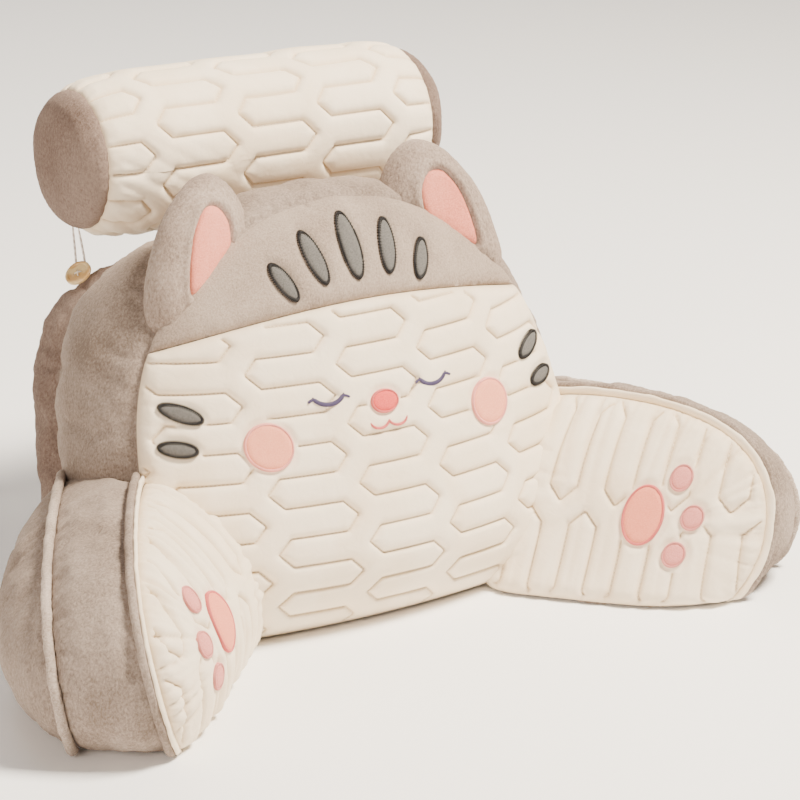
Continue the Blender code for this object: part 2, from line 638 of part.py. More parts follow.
def quilted_sheet(name, border, place, columns, patches, upright, low_pitch, material, group, shift=0.0):
    """A quilted sheet with stitched columns, and a level bed under each patch."""
    border = [tuple(p) for p in border]
    beds = [ellipse(patch, BED_MARGIN, PATCH_SIDES) for patch in patches]
    across_runs = np.array(border)[:, 0 if upright else 1]
    low, high = across_runs.min(), across_runs.max()

    def turned(points):
        return [(y, x) for x, y in points] if upright else list(points)

    def free(points):
        ok = edge_distance(border, points) > QUILT_CLEAR
        for bed in beds:
            ok &= edge_distance(bed, points) < -BED_MARGIN
        return ok

    lines, crests = [], []
    for column in columns:
        lines += clip_line(turned(serpentine(column, low, high, shift)), free)
        spots = np.array(turned(pad_crests(column, low, high, shift)))
        crests += [tuple(p) for p in spots[free(spots)]]
    bed_lines = [bed + [bed[0]] for bed in beds]
    bed_spots = [spot for bed in beds for spot in grid_spots(bed, QUILT_NET, BED_MARGIN)]
    stitches = np.array([p for line in lines for p in line])
    rim = [tuple(p) for p in border_inset(border, QUILT_NET / 3)]
    spots, faces = net_of(border, lines + bed_lines, crests + bed_spots + rim)
    away = np.maximum(0.0, edge_distance(border, spots))
    flat = np.minimum(1.0, away / QUILT_EDGE + 0.05)
    in_bed = np.any([edge_distance(bed, spots) > -PATCH_CLEAR for bed in beds], axis=0)
    share = np.where(in_bed, BED_SHARE, pad_share(spots, stitches))
    heights = GAP + QUILT_BASE + QUILT_PUFF * share * flat
    low_rings = [tuple(p) for ring in (1, 2) for p in border_inset(border, ring * QUILT_NET)]
    low_spots, low_faces = net_of(border, [], low_rings + grid_spots(border, low_pitch, 3 * QUILT_NET))
    top, bottom = (spots, faces, heights), (low_spots, low_faces, GAP)
    return laid_slab(name, border, top, bottom, place, material, group)


def border_inset(border, inset):
    """Every other border point, moved inwards."""
    pts = np.array(border)
    along = np.roll(pts, -1, axis=0) - np.roll(pts, 1, axis=0)
    side = np.stack([-along[:, 1], along[:, 0]], axis=1)
    side /= np.linalg.norm(side, axis=1)[:, None]
    trial = pts + side * inset
    if edge_distance(pts, trial[len(pts) // 2:len(pts) // 2 + 1])[0] < 0:
        trial = pts - side * inset
    keep = edge_distance(pts, trial) > inset * 0.8
    return trial[keep][::2]


def even_border(line, pitch):
    """A closed border with points about one pitch apart, its corners kept."""
    out = []
    for start, end in zip(line, line[1:] + line[:1]):
        parts = max(1, round(math.dist(start, end) / pitch))
        for i in range(parts):
            out.append(tuple(s + (e - s) * i / parts for s, e in zip(start, end)))
    return out


# ---------------------------------------------------------------- front of the cushion
def crown_edge(across):
    return CROWN_EDGE - CROWN_FALL * across ** 2


def split_front():
    """Borders of the crown panel and of the face panel under it."""
    trimmed = FRONT_ARCH * PANEL_SHARE
    above = [tuple(p) for p in trimmed if p[1] > crown_edge(p[0]) + CROWN_APART]
    right = [tuple(p) for p in trimmed if p[1] < crown_edge(p[0]) - CROWN_APART and p[0] > 0]
    left = [tuple(p) for p in trimmed if p[1] < crown_edge(p[0]) - CROWN_APART and p[0] < 0]
    reach_x = 0.5 * (above[0][0] + right[-1][0])
    across = np.linspace(-reach_x, reach_x, 15)
    lower = [(x, crown_edge(x) + CROWN_GAP) for x in across]
    right = [(right[0][0], PANEL_FLOOR)] + right[1:]
    left = left[:-1] + [(left[-1][0], PANEL_FLOOR)]
    upper = [(x, crown_edge(x) - CROWN_GAP) for x in across[::-1]]
    return even_border(above + lower, QUILT_NET), even_border(right + upper + left, QUILT_NET)


def crowned(thick, away, slope):
    """Thickness of a soft sheet: a little under half at its edge, full beyond the slope."""
    return thick * (0.45 + 0.55 * np.minimum(1.0, np.maximum(0.0, away) / slope))


def smooth_sheet(name, border, place, patches, thick, low_pitch, material, group):
    """A plain panel, with its crown and with level beds under its patches."""
    beds = [ellipse(patch, BED_MARGIN, PATCH_SIDES) for patch in patches]
    inner = grid_spots(border, QUILT_NET, QUILT_NET * 0.6)
    spots, faces = net_of(border, [bed + [bed[0]] for bed in beds], inner)
    heights = GAP + crowned(thick, edge_distance(border, spots), QUILT_SLOPE)
    low_rings = [tuple(p) for p in border_inset(border, QUILT_NET * 0.75)]
    low_spots, low_faces = net_of(border, [], low_rings + grid_spots(border, low_pitch, low_pitch))
    top, bottom = (spots, faces, heights), (low_spots, low_faces, GAP)
    return laid_slab(name, border, top, bottom, place, material, group)


def make_patch(name, outline, place, bed, material, group):
    """A cut patch that lies on a level bed, its edge drawn down."""
    spots, faces = net_of(outline, [], grid_spots(outline, 0.011, BED_MARGIN))
    low = bed + PATCH_CLEAR
    heights = low + crowned(PATCH_THICK, edge_distance(outline, spots), 0.003)
    laid_slab(name, outline, (spots, faces, heights), (spots, faces, low), place, material, group)


def make_front(materials, group):
    crown, face = split_front()
    face_beds = FACE_PATCHES + SIDE_PATCHES
    quilted_sheet("face_panel", face, front_point, range(-3, 4), face_beds, False, 0.021,
                  materials["quilt_cream"], group)
    smooth_sheet("crown_panel", crown, front_point, CROWN_PATCHES, PANEL_THICK, 0.018,
                 materials["plush_grey"], group)
    laid = [(patch, QUILT_BED, "patch_rose" if patch[0] == "nose" else "patch_pink") for patch in FACE_PATCHES]
    laid += [(patch, QUILT_BED, "patch_grey") for patch in SIDE_PATCHES]
    laid += [(patch, GAP + PANEL_THICK, "patch_grey") for patch in CROWN_PATCHES]
    for patch, bed, finish in laid:
        outline = ellipse(patch, 0.0, PATCH_SIDES)
        make_patch(patch[0], outline, front_point, bed, materials[finish], group)


# ---------------------------------------------------------------- arms
def make_arm_panel(side, word, materials, group, cutter):
    outline = [tuple(p) for p in ARM_OUTLINE * PANEL_SHARE if p[0] > ARM_PANEL_REAR]
    upper = [p for p in outline if p[1] > 2 * PANEL_FLOOR]
    border = [(outline[0][0], PANEL_FLOOR)] + upper + [(outline[-1][0], PANEL_FLOOR)]
    border = even_border(border, QUILT_NET)

    def place(along, up, lift):
        return arm_point(side, along, up, lift)

    panel = quilted_sheet(f"arm_panel_{word}", border, place, range(-1, 3), PAW_PATCHES, True, 0.015,
                          materials["quilt_cream"], group, shift=ARM_QUILT_SHIFT)
    cut(panel, cutter)
    for patch in PAW_PATCHES:
        finish = "patch_pink" if patch[0] == "paw_pad" else "patch_rose"
        outline = ellipse(patch, 0.0, PATCH_SIDES)
        make_patch(f"{patch[0]}_{word}", outline, place, QUILT_BED, materials[finish], group)


# ---------------------------------------------------------------- neck roll
def roll_place(along, turn, radius):
    """A point of the roll, from its own axis to its place behind the top of the cushion."""
    x, y, z = along, -radius * math.cos(turn), radius * math.sin(turn)
    turned = Matrix.Rotation(ROLL_YAW, 3, "Z") @ Matrix.Rotation(ROLL_DROP, 3, "Y") @ Vector((x, y, z))
    return Vector(ROLL_AT) - Vector((0, CENTRE_Y, 0)) + turned


def roll_radius(along):
    """Radius of the roll on a stitch line: a barrel that rounds over to its end seams."""
    taper = max(0.0, 1 - (ROLL_LONG / 2 - abs(along)) / ROLL_ROUND)
    return ROLL_RADIUS - (ROLL_RADIUS - ROLL_END) * taper ** 2


def make_roll(materials, group):
    """The quilted roll: a net laid round a cylinder, drawn in at both ends."""
    half = ROLL_LONG / 2
    around = ROLL_RUNS * QUILT_RUN
    border = even_border([(-half, 0.0), (half, 0.0), (half, around), (-half, around)], QUILT_RUN / 2)
    seam = 0.0001             # tolerance at the seam along the roll

    def free(points):
        within = np.abs(points[:, 1] - around / 2) < around / 2 + seam
        return within & (np.abs(points[:, 0]) < half - QUILT_CLEAR)

    lines, crests = [], []
    for column in range(-2, 3):
        lines += clip_line(serpentine(column, 0.0, around), free)
        spots = np.array(pad_crests(column, 0.0, around))
        inside = free(spots) & (np.abs(spots[:, 1] - around / 2) < around / 2 - GAP)
        crests += [tuple(p) for p in spots[inside]]
    turns = np.arange(ROLL_RUNS * 2 + 1) * QUILT_RUN / 2
    rings = [(x, y) for x in (QUILT_EDGE / 2 - half, half - QUILT_EDGE / 2) for y in turns]
    spots, faces = net_of(border, lines, crests + rings)
    shares = pad_share(spots, np.array([p for line in lines for p in line]))
    verts = []
    for (x, y), share in zip(spots, shares):
        puff = QUILT_PUFF * share * min(1.0, (half - abs(x)) / QUILT_EDGE)
        verts.append(roll_place(x, 2 * math.pi * y / around, roll_radius(x) + puff))
    for end in (-half, half):
        rim = [i for i, (x, y) in enumerate(spots) if abs(x - end) < seam and y < around - seam]
        rim.sort(key=lambda i: spots[i][1])
        faces.append(tuple(rim))
    return add_mesh("neck_roll", verts, faces, materials["quilt_cream"], group)


def make_roll_end(side, word, material, group):
    """A plush end disc with a soft dome, turned about the roll's axis."""
    profile = [(ROLL_END * r, CAP_DOME * away) for r, away in CAP_ROWS]
    count = 26
    verts, faces = [], []
    for k in range(count):
        turn = 2 * math.pi * k / count
        pucker = CAP_PUCKER * math.cos(7 * turn)
        for r, away in profile:
            reach_out = ROLL_LONG / 2 + GAP + away + pucker * math.sin(math.pi * r / ROLL_END) * (away > 0)
            verts.append(roll_place(side * reach_out, turn, r))
    ring = len(profile)
    for k in range(count):
        n = (k + 1) % count
        for i in range(ring - 1):
            faces.append((k * ring + i, n * ring + i, n * ring + i + 1, k * ring + i + 1))
    faces.append(tuple(k * ring for k in range(count)))
    faces.append(tuple(k * ring + ring - 1 for k in range(count)))
    return add_mesh(f"roll_end_{word}", verts, faces, material, group)


# ---------------------------------------------------------------- ears
def ear_axes(side):
    inner, outer = (Vector(p) for p in EAR_BASE)
    inner.x, outer.x = side * inner.x, side * outer.x
    rise = Vector(EAR_RISE)
    rise.x *= side
    middle = (inner + outer) / 2 - Vector((0, CENTRE_Y, 0))
    base = outer - inner
    front = base.cross(rise).normalized()
    if front.y > 0:
        front = -front
    return middle, base, rise, front


def ear_point(side, across, up, lift):
    middle, base, rise, front = ear_axes(side)
    cup = EAR_CUP * across ** 2 - EAR_TILT * up
    return middle + base * across + rise * up + front * (lift - cup)


def ear_thickness(across, up):
    """Half thickness of the stuffed ear, full at its root and thin at its edge."""
    line = smooth_line([(a, b + EAR_ROOT) for a, b in EAR_OUTLINE], 4)
    share = min(1.0, share_of(line, across, up + EAR_ROOT))
    return EAR_THICK * max(0.0, 1 - share ** 2.6) ** 0.6


def make_ear(side, word, materials, group, cutter):
    outline = smooth_line([(a, b + EAR_ROOT) for a, b in EAR_OUTLINE], 2)
    rows = []
    for way in (1, -1):
        shares = EAR_ROWS if way > 0 else EAR_ROWS[::-1][1:]
        for share in shares:
            row = []
            for across, up in outline:
                a, b = across * share, up * share - EAR_ROOT
                thick = EAR_RIM * share + ear_thickness(a, b)
                row.append(ear_point(side, a, b, way * thick))
            rows.append(row)
        if way > 0:
            rows.append([ear_point(side, a, b - EAR_ROOT, -EAR_RIM) for a, b in outline])
    ear = open_loft(f"ear_{word}", rows, materials["plush_grey"], group)
    cut(ear, cutter)
    border = even_border([tuple(p) for p in smooth_line(LINING_OUTLINE, 3)], 0.16)

    def place(across, up, lift):
        return ear_point(side, across, up, EAR_RIM + ear_thickness(across, up) + lift)

    spots, faces = net_of(border, [], grid_spots(border, 0.15, 0.05))
    heights = LINING_CLEAR + crowned(LINING_THICK, edge_distance(border, spots), 0.06)
    top, bottom = (spots, faces, heights), (spots, faces, LINING_CLEAR)
    lining = laid_slab(f"ear_lining_{word}", border, top, bottom, place, materials["plush_pink"], group)
    cut(lining, cutter)


def open_loft(name, rows, material, group):
    """Joins rows into a closed skin whose open ends are both closed by one face each."""
    count = len(rows[0])
    verts = [point for row in rows for point in row]
    faces = []
    for low in range(len(rows) - 1):
        for k in range(count - 1):
            a = low * count + k
            faces.append((a, a + 1, a + count + 1, a + count))
    starts = [row * count for row in range(len(rows))]
    ends = [row * count + count - 1 for row in reversed(range(len(rows)))]
    faces.append(tuple(starts + ends[1:-1]))
    return add_mesh(name, verts, faces, material, group)


# ---------------------------------------------------------------- buttons and loops
def button_frame(side, cushion):
    """Where a button sits on the cushion, with the direction out of the cloth."""
    tree = BVHTree.FromPolygons([v.co for v in cushion.data.vertices],
                                [tuple(p.vertices) for p in cushion.data.polygons])
    aim = Vector((side * BUTTON_AT[0], BUTTON_AT[1] - CENTRE_Y, BUTTON_AT[2]))
    place, normal, _, _ = tree.find_nearest(aim)
    return place, normal


def make_button(side, word, cushion, material, group):
    """A turned wooden button with a raised rim, four holes and its thread shank."""
    place, normal = button_frame(side, cushion)
    lift = 2 * (GAP + LOOP_RADIUS)
    top = lift + BUTTON_THICK
    inside = BUTTON_RADIUS - BUTTON_RIM
    profile = [(0.0, GAP), (SHANK_RADIUS, GAP), (SHANK_RADIUS, lift), (BUTTON_RADIUS - BUTTON_EASE, lift),
               (BUTTON_RADIUS, lift + BUTTON_EASE), (BUTTON_RADIUS, top - BUTTON_EASE),
               (BUTTON_RADIUS - BUTTON_EASE, top), (inside, top),
               (inside - BUTTON_DISH, top - BUTTON_DISH), (0.0, top - BUTTON_DISH)]
    mesh = bpy.data.meshes.new(f"button_{word}")
    mesh.from_pydata([(r, 0.0, z) for r, z in profile], [(i, i + 1) for i in range(len(profile) - 1)], [])
    button = bpy.data.objects.new(f"button_{word}", mesh)
    group.objects.link(button)
    turn = button.modifiers.new("turn", "SCREW")
    turn.steps = turn.render_steps = 20
    turn.use_merge_vertices = True
    turn.merge_threshold = 0.00005
    turn.use_normal_calculate = True
    apply_modifiers(button)
    net = bmesh.new()
    net.from_mesh(button.data)
    bmesh.ops.remove_doubles(net, verts=net.verts, dist=0.00002)
    bmesh.ops.recalc_face_normals(net, faces=net.faces)
    net.to_mesh(button.data)
    net.free()
    for k in range(4):
        turn_by = math.pi / 4 + k * math.pi / 2
        bpy.ops.mesh.primitive_cylinder_add(vertices=8, radius=BUTTON_HOLE, depth=0.02,
                                            location=(BUTTON_SPREAD * math.cos(turn_by),
                                                      BUTTON_SPREAD * math.sin(turn_by), lift + 0.0105))
        drill = bpy.context.object
        cut(button, drill)
        bpy.data.objects.remove(drill)
    spin = normal.to_track_quat("Z", "Y").to_matrix().to_4x4()
    spin.translation = place
    button.data.transform(spin)
    button.data.materials.clear()
    button.data.materials.append(material)
    return place, normal


def make_loop(side, word, place, normal, material, group):
    """The elastic loop: from the roll's end seam down, round the shank under the button and back up."""
    anchors = [roll_place(side * (ROLL_LONG / 2 - LOOP_IN), swing - math.pi / 2, ROLL_END + LOOP_OFF)
               for swing in LOOP_SWINGS]
    lie = normal * (LOOP_RADIUS + LOOP_CLEAR)
    down = (place - (anchors[0] + anchors[1]) / 2)
    down -= normal * down.dot(normal)
    down.normalize()
    across = normal.cross(down).normalized()
    if across.dot(anchors[0] - anchors[1]) < 0:
        across = -across
    ring = SHANK_RADIUS + LOOP_RADIUS + LOOP_CLEAR
    bend = []
    for k in range(9):
        angle = math.pi * k / 8
        bend.append(place + lie + across * ring * math.cos(angle) + down * ring * math.sin(angle))
    past_rim = down * (BUTTON_RADIUS + 2 * LOOP_RADIUS)
    first = [anchors[0], bend[0] - past_rim, bend[0] - past_rim / 3]
    last = [bend[-1] - past_rim / 3, bend[-1] - past_rim, anchors[1]]
    route = first + bend + last
    curve = bpy.data.curves.new(f"loop_{word}", "CURVE")
    curve.dimensions = "3D"
    curve.bevel_depth = LOOP_RADIUS
    curve.bevel_resolution = 2
    curve.use_fill_caps = True
    spline = curve.splines.new("POLY")
    spline.points.add(len(route) - 1)
    for point, spot in zip(spline.points, route):
        point.co = (*spot, 1.0)
    loop = bpy.data.objects.new(f"loop_{word}", curve)
    curve.materials.append(material)
    group.objects.link(loop)


# ---------------------------------------------------------------- whole object
def main():
    clear_scene()
    group = make_collection("reading_pillow_with_arms")
    cutters = make_collection("cutters")
    materials = {name: make_material(name) for name in COLOURS}
    cushion = make_cushion(materials["plush_grey"], group)
    cutter = make_trimmer(cutters)
    make_front(materials, group)
    for side, word in ((-1, "left"), (1, "right")):
        make_arm(side, word, materials["plush_grey"], group, cutter)
        make_arm_panel(side, word, materials, group, cutter)
        make_flanges(side, word, materials, group, cutter)
        make_ear(side, word, materials, group, cutter)
        make_roll_end(side, word, materials["plush_grey"], group)
        place, normal = make_button(side, word, cushion, materials["wood_button"], group)
        make_loop(side, word, place, normal, materials["elastic_white"], group)
    make_roll(materials, group)


main()
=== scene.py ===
"""The looks of a reading pillow with arms: quilted velvet, short-pile plush, sewn patches, turned buttons.

The filled pieces are copies of the solids, remeshed, blown up as cloth and held along their seams. The
quilted sheets are fine nets on the same curved faces as the solids', with a pad between every two runs of
stitching. Lengths are in metres, and a side is -1 for the left and 1 for the right.
"""

import math

import bmesh
import bpy
import numpy as np
from mathutils import Matrix, Vector, noise
from mathutils.geometry import delaunay_2d_cdt
from mathutils.kdtree import KDTree


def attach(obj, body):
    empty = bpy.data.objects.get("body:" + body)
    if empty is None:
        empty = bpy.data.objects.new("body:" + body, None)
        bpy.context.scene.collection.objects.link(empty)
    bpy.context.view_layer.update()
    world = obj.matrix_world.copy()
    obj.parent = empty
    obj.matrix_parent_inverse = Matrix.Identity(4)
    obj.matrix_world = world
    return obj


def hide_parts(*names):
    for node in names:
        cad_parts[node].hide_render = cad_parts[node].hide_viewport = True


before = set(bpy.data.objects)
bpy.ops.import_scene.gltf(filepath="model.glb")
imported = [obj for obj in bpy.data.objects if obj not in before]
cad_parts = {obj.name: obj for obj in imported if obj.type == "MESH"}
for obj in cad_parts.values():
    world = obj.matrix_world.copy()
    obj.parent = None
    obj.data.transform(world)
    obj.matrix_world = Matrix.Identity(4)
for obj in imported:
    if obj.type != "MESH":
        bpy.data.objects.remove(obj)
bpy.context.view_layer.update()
SIDES = ((-1, "left"), (1, "right"))

# -------------------------------------------------- sizes
# front and back face of the cushion, and the panels on its front
CENTRE_Y = 0.170          # from the seam line at the floor to the middle of the whole depth
BACK_LEAN = 0.41          # backward run of the front face per metre of height
BACK_BOW = 0.95           # how fast the front face falls back to its sides
BACK_TUCK = 0.028         # how far the front seam is drawn back at the top
TUCK_FROM = 0.78          # share of the way to the seam at which that begins
TUCK_LOW = 0.15           # share of it that is left at the floor
FOOT_TUCK = 0.045         # how far the foot of the front face is drawn back
FOOT_STRAIGHT = 0.026     # how much farther in its middle
FOOT_HIGH = 0.118         # height up to which the foot is drawn back
FRONT_SEAM = [(0.248, 0.0), (0.254, 0.09), (0.250, 0.17), (0.236, 0.245), (0.204, 0.308), (0.142, 0.365),
              (0.072, 0.400), (0.0, 0.412)]                      # half outline: (x, z)
BACK_SEAM = [(0.252, 0.0), (0.257, 0.09), (0.250, 0.17), (0.235, 0.247), (0.203, 0.300), (0.143, 0.336),
             (0.072, 0.354), (0.0, 0.359)]
REAR_BASE = 0.170         # depth at the floor, and lean and bow of the back face
REAR_LEAN = 0.39
REAR_BOW = 1.05
CROWN_EDGE = 0.318        # height of the crown panel's lower edge in the middle
CROWN_FALL = 0.70         # how fast that edge falls to the sides
CROWN_GAP = 0.0003        # half the gap between the two panels
FRONT_TRIM = 0.992        # size of the panels in the front seam
SHEET_FOOT = 0.0025       # height of a panel's lower edge above the floor

# arms: the face inside the inner seam, the plush band, the outer seam and the raised edges
ARM_ROOT = (0.245, 0.060)                # across, and behind the front seam
ARM_SPLAY = math.radians(30)
ARM_THICK = 0.094         # width of the plush band over the arm
ARM_LEAN = 0.23           # outward lean of the inner seam
ARM_DROP = 0.17           # share by which the outer seam is lower than the inner one
ARM_REAR = -0.105         # rear ends of the inner and the outer seam
ARM_REAR_OUTER = -0.195
ARM_STRETCH = {-1: 0.11, 1: 0.0}         # the left arm is pulled a little longer than the right one
ARM_FOOT = {-1: 0.036, 1: -0.014}        # how far the inner face's foot is drawn under, or stands forward
ARM_FOOT_HIGH = 0.095
ARM_FOLD = {-1: 0.0120, 1: 0.0070}       # height of the folds that the seams draw in
ARM_ARCH = [(0.160, 0.0), (0.176, 0.022), (0.187, 0.060), (0.184, 0.105), (0.166, 0.138), (0.134, 0.162),
            (0.090, 0.175), (0.040, 0.180), (-0.020, 0.178), (-0.070, 0.168), (-0.098, 0.140),
            (-0.105, 0.070), (-0.105, 0.0)]                      # inner seam: (along the arm, z)
TRIMMED = slice(0, -14)   # part of the arm's seams with a raised edge: all but the rear end
CREAM_EDGE = (0.0088, 0.0044, -0.0018)   # raised edges: height, width, distance out of the seam
GREY_EDGE = (0.0118, 0.0085, 0.0042)
FLEECE_EDGE = (0.0125, 0.0098, 0.0)
RIDGE_PITCH = 0.004

# neck roll and its end discs
ROLL_LONG = 0.388
ROLL_RADIUS = 0.0785      # on a stitch line in the middle
ROLL_END = 0.0695         # radius of the seam with the end discs
ROLL_ROUND = 0.062        # length over which the roll tapers to that seam
ROLL_AT = (0.006, 0.377, 0.4275)
ROLL_YAW = math.radians(0.5)
ROLL_DROP = math.radians(0.7)
ROLL_RUNS = 16            # runs of stitching round the roll
ROLL_PUCKER = 0.0020      # height of the puckers at its ends
ROLL_DRAG = 0.0022        # height of the wrinkles at its lower left
DISC_DOME = 0.025
DISC_ROWS = [(1.0, -0.10), (1.015, 0.16), (0.965, 0.46), (0.80, 0.84), (0.46, 1.0), (0.15, 0.97),
             (0.0, 0.96)]                                        # half section: (radius, rise) as shares
DISC_COUNT = 132          # points round a disc

# quilting, plain crown and the beds of the patches, as heights above the face
QUILT_RUN = 0.0277        # distance between two runs of stitching
QUILT_COLUMN = 0.094      # width of one column of stitching, with its zigzag gap
QUILT_TIP = 0.0435        # half width of a column at its points
QUILT_STRAIGHT = 0.0295   # half length of a straight run
QUILT_BASE = 0.0036       # height of a stitch line above the face
QUILT_PUFF = 0.0060       # how far a pad stands above its stitch lines
PAD_EDGE = 0.0110         # distance over which a pad rises from its stitches
SHADE_HALF_WIDTH = 0.0009            # half width of the painted shade along the stitches
SIDE_FOLD = 0.0020        # height of the folds at the sides of the face, and over the floor
FLOOR_FOLD = 0.0014
CROWN_PUFF = 0.0068       # how far the crown panel stands out in its middle
CROWN_ROUND = 0.012       # distance over which it rises from its seam
BED_LIFT = 0.0080         # height at which a patch lies on the quilting
CROWN_BED = 0.0062        # and on the crown panel
BED_SINK = 0.0006         # how far under a patch the cloth lies
BED_GROW = 0.0030         # width of the flattened cloth round a patch, and of the slope round that
BED_SLOPE = 0.004

# rounded patches: (name, across, up, half width, half height, turn in degrees)
FACE_PATCHES = [("nose", 0.0, 0.222, 0.0150, 0.0105, 0), ("cheek_left", -0.128, 0.196, 0.0235, 0.0215, 0),
                ("cheek_right", 0.128, 0.196, 0.0235, 0.0215, 0)]
CROWN_PATCHES = [("stripe_middle", 0.0, 0.366, 0.0105, 0.0290, 0),
                 ("stripe_left_inner", -0.042, 0.360, 0.0090, 0.0240, 14),
                 ("stripe_right_inner", 0.042, 0.360, 0.0090, 0.0240, -14),
                 ("stripe_left_outer", -0.079, 0.342, 0.0080, 0.0185, 28),
                 ("stripe_right_outer", 0.079, 0.342, 0.0080, 0.0185, -28)]
SIDE_PATCHES = [("stripe_left_upper", -0.202, 0.232, 0.0185, 0.0078, -20),
                ("stripe_left_lower", -0.211, 0.200, 0.0165, 0.0072, -6),
                ("stripe_right_upper", 0.202, 0.232, 0.0185, 0.0078, 20),
                ("stripe_right_lower", 0.211, 0.200, 0.0165, 0.0072, 6)]
PAW_PATCHES = [("paw_pad", 0.071, 0.084, 0.0195, 0.0275, 0),
               ("paw_toe_top", 0.1000, 0.1200, 0.0105, 0.0115, 0),
               ("paw_toe_middle", 0.1180, 0.0850, 0.0105, 0.0115, 0),
               ("paw_toe_low", 0.1080, 0.0500, 0.0105, 0.0115, 0)]
PATCH_PITCH = 0.0024      # spacing of the points in a patch
PATCH_PUFF = 0.0022       # how far a patch stands out in its middle
SMALL_PATCH = 0.0125      # half size under which the satin edge is narrower
SATIN_WIDE = (0.0014, 0.0009)            # width of a stitched edge inside and outside the outline
SATIN_SMALL = (0.0011, 0.0006)
SATIN_PITCH = 0.00058     # distance between two stitches
BLANKET_WIDE = (0.0018, 0.0013)
BLANKET_PITCH = 0.00195

# closed eyes and mouth, as arcs on the face
EYE_AT = (0.060, 0.2400)                 # middle of the arc of the right eye, on the face
EYE_HALF = (0.0175, 0.0125)
EYE_THICK = 0.0040        # width of the satin band
LINE_THICK = 0.0022       # the same for the lashes and the mouth
LASH_TURNS = (208, 332)   # where the lashes begin on that arc, in degrees
LASH_LONG = 0.0075
MOUTH_AT = (0.0105, 0.2055)
MOUTH_HALF = (0.0105, 0.0075)
BAND_PITCH = 0.00055

# ears; their outlines are shares of the width across and of the height up
EAR_BASE = ((0.077, 0.213, 0.381), (0.202, 0.176, 0.301))      # inner and outer ends of the sewn edge
EAR_RISE = (0.009, 0.032, 0.088)                               # from the middle of that edge to the tip
EAR_THICK = 0.021         # half thickness in the middle
EAR_RIM = 0.0016          # half thickness at the edge
EAR_ROUND = 0.034         # distance over which the ear thickens from its edge
LINING_SUNK = 0.0034      # depth of the recess under the lining
RIM_PROUD = 0.0026        # height of the plush roll round it
LINING_PUFF = 0.0032      # how far the lining stands out in its middle, from LINING_SINK under the plush
LINING_SINK = 0.0030
EAR_CUP = 0.040           # how hollow its front is
EAR_TILT = 0.006          # how far its tip leans forward
EAR_OUTLINE = [(-0.45, -0.12), (-0.50, 0.12), (-0.45, 0.42), (-0.36, 0.70), (-0.22, 0.93), (-0.03, 1.03),
               (0.17, 0.97), (0.35, 0.78), (0.48, 0.48), (0.53, 0.16), (0.44, -0.12)]
LINING_OUTLINE = [(-0.20, 0.10), (-0.23, 0.34), (-0.17, 0.58), (-0.05, 0.71), (0.08, 0.62), (0.18, 0.38),
                  (0.22, 0.10), (0.02, 0.02)]

# nets of the sheets
SHEET_PITCH = 0.0026      # spacing of the points in a quilted net
CROWN_PITCH = 0.0036      # in the crown panel's net
UNDER_PITCH = 0.012       # and on the underside of both
UNDER_LIFT = 0.0006       # height of the underside above the face
NET_INSET = 0.6           # distance of a net's first points from its border, in pitches
NET_CLEAR = 0.0024        # and from a stitch line
RAIL_AWAY = 0.0014        # distance of the extra row of points beside a stitch line
LINE_PITCH = 0.0013       # spacing of the points on a stitch line
LEAST_POINTS = 4          # a shorter stretch of stitching is left out
STITCH_CLEAR = 0.0045     # stitching ends this far from the seam
SEAM_LIFT = 0.0009        # height of the quilting at its seam
SEAM_ROUND = 0.010        # distance over which it rises from the seam
LEAST_LIFT = 0.0008       # the folds never press the quilting lower than this
CREASE_REACH = 0.0045     # how far the small creases reach from the stitches
SHEET_CREASES = [(0.00030, 0.0052, 2.0), (0.00055, 0.0130, 5.0)]  # height, length, seed

# threads
STITCH_LONG = 0.0030
STITCH_GAP = 0.0009
THREAD_RADIUS = 0.00032
BUTTON_THREAD = [(-0.0040, -0.0015), (-0.0034, 0.0), (0.0, 0.0004), (0.0034, 0.0),
                 (0.0040, -0.0015)]      # (across the button, height)

# filled bodies
BACK_SKIN = (0.0075, 3)   # width of the skin's squares, and rounds of smoothing
ARM_SKIN = (0.006, 2)
BACK_SWELL = 0.009        # the farthest that the filling may push the cloth out
ARM_SWELL = 0.008
BACK_HOLD = 0.008         # distance from a seam within which the cloth is held
ARM_HOLD = 0.007
INNER_FIRM = 1.4          # how firmly: more than 1 holds a band beside the seam too
OUTER_FIRM = 1.3
BACK_CARVE = (0.0035, 0.0055, 0.0012)    # how a seam is drawn in: depth, width, height of its puckers
FRONT_CARVE = (0.0034, 0.0048, 0.0014)
ARM_CARVE = (0.0025, 0.0045, 0.0010)

CLOTH_FRAMES = 20
CLOTH = {"quality": 5, "mass": 0.25, "tension_stiffness": 12, "compression_stiffness": 12,
         "shear_stiffness": 4, "bending_stiffness": 0.4, "use_pressure": True,
         "uniform_pressure_force": 4.0, "shrink_min": -0.05, "vertex_group_mass": "held"}

# floor, lights and camera
FLOOR_HALF = 9
FLOOR_LEVEL = -0.0004     # just under the pillow
LIGHTS = [("key", (1.3, -1.0, 3.0), 0.9, 400.0, "#FFF3E0"),      # name, place, size, watts, colour
          ("fill", (-3.1, -1.5, 1.3), 2.0, 84.0, "#FFF0E2"),
          ("rim", (0.4, 2.4, 2.6), 2.0, 40.0, "#FFFFFF")]
LIGHTS_AIM = (0, 0, 0.2)
WORLD_COLOUR = "#FFF1E0"
WORLD_STRENGTH = 0.30

CAMERA_AZIMUTH = math.radians(32.74)     # from straight ahead toward the left arm
CAMERA_ELEVATION = math.radians(20.04)
CAMERA_ROLL = math.radians(0.62)
CAMERA_DISTANCE = 2.887
CAMERA_TARGET = (-0.0357, -0.1700, 0.2586)
CAMERA_LENS = 135.0


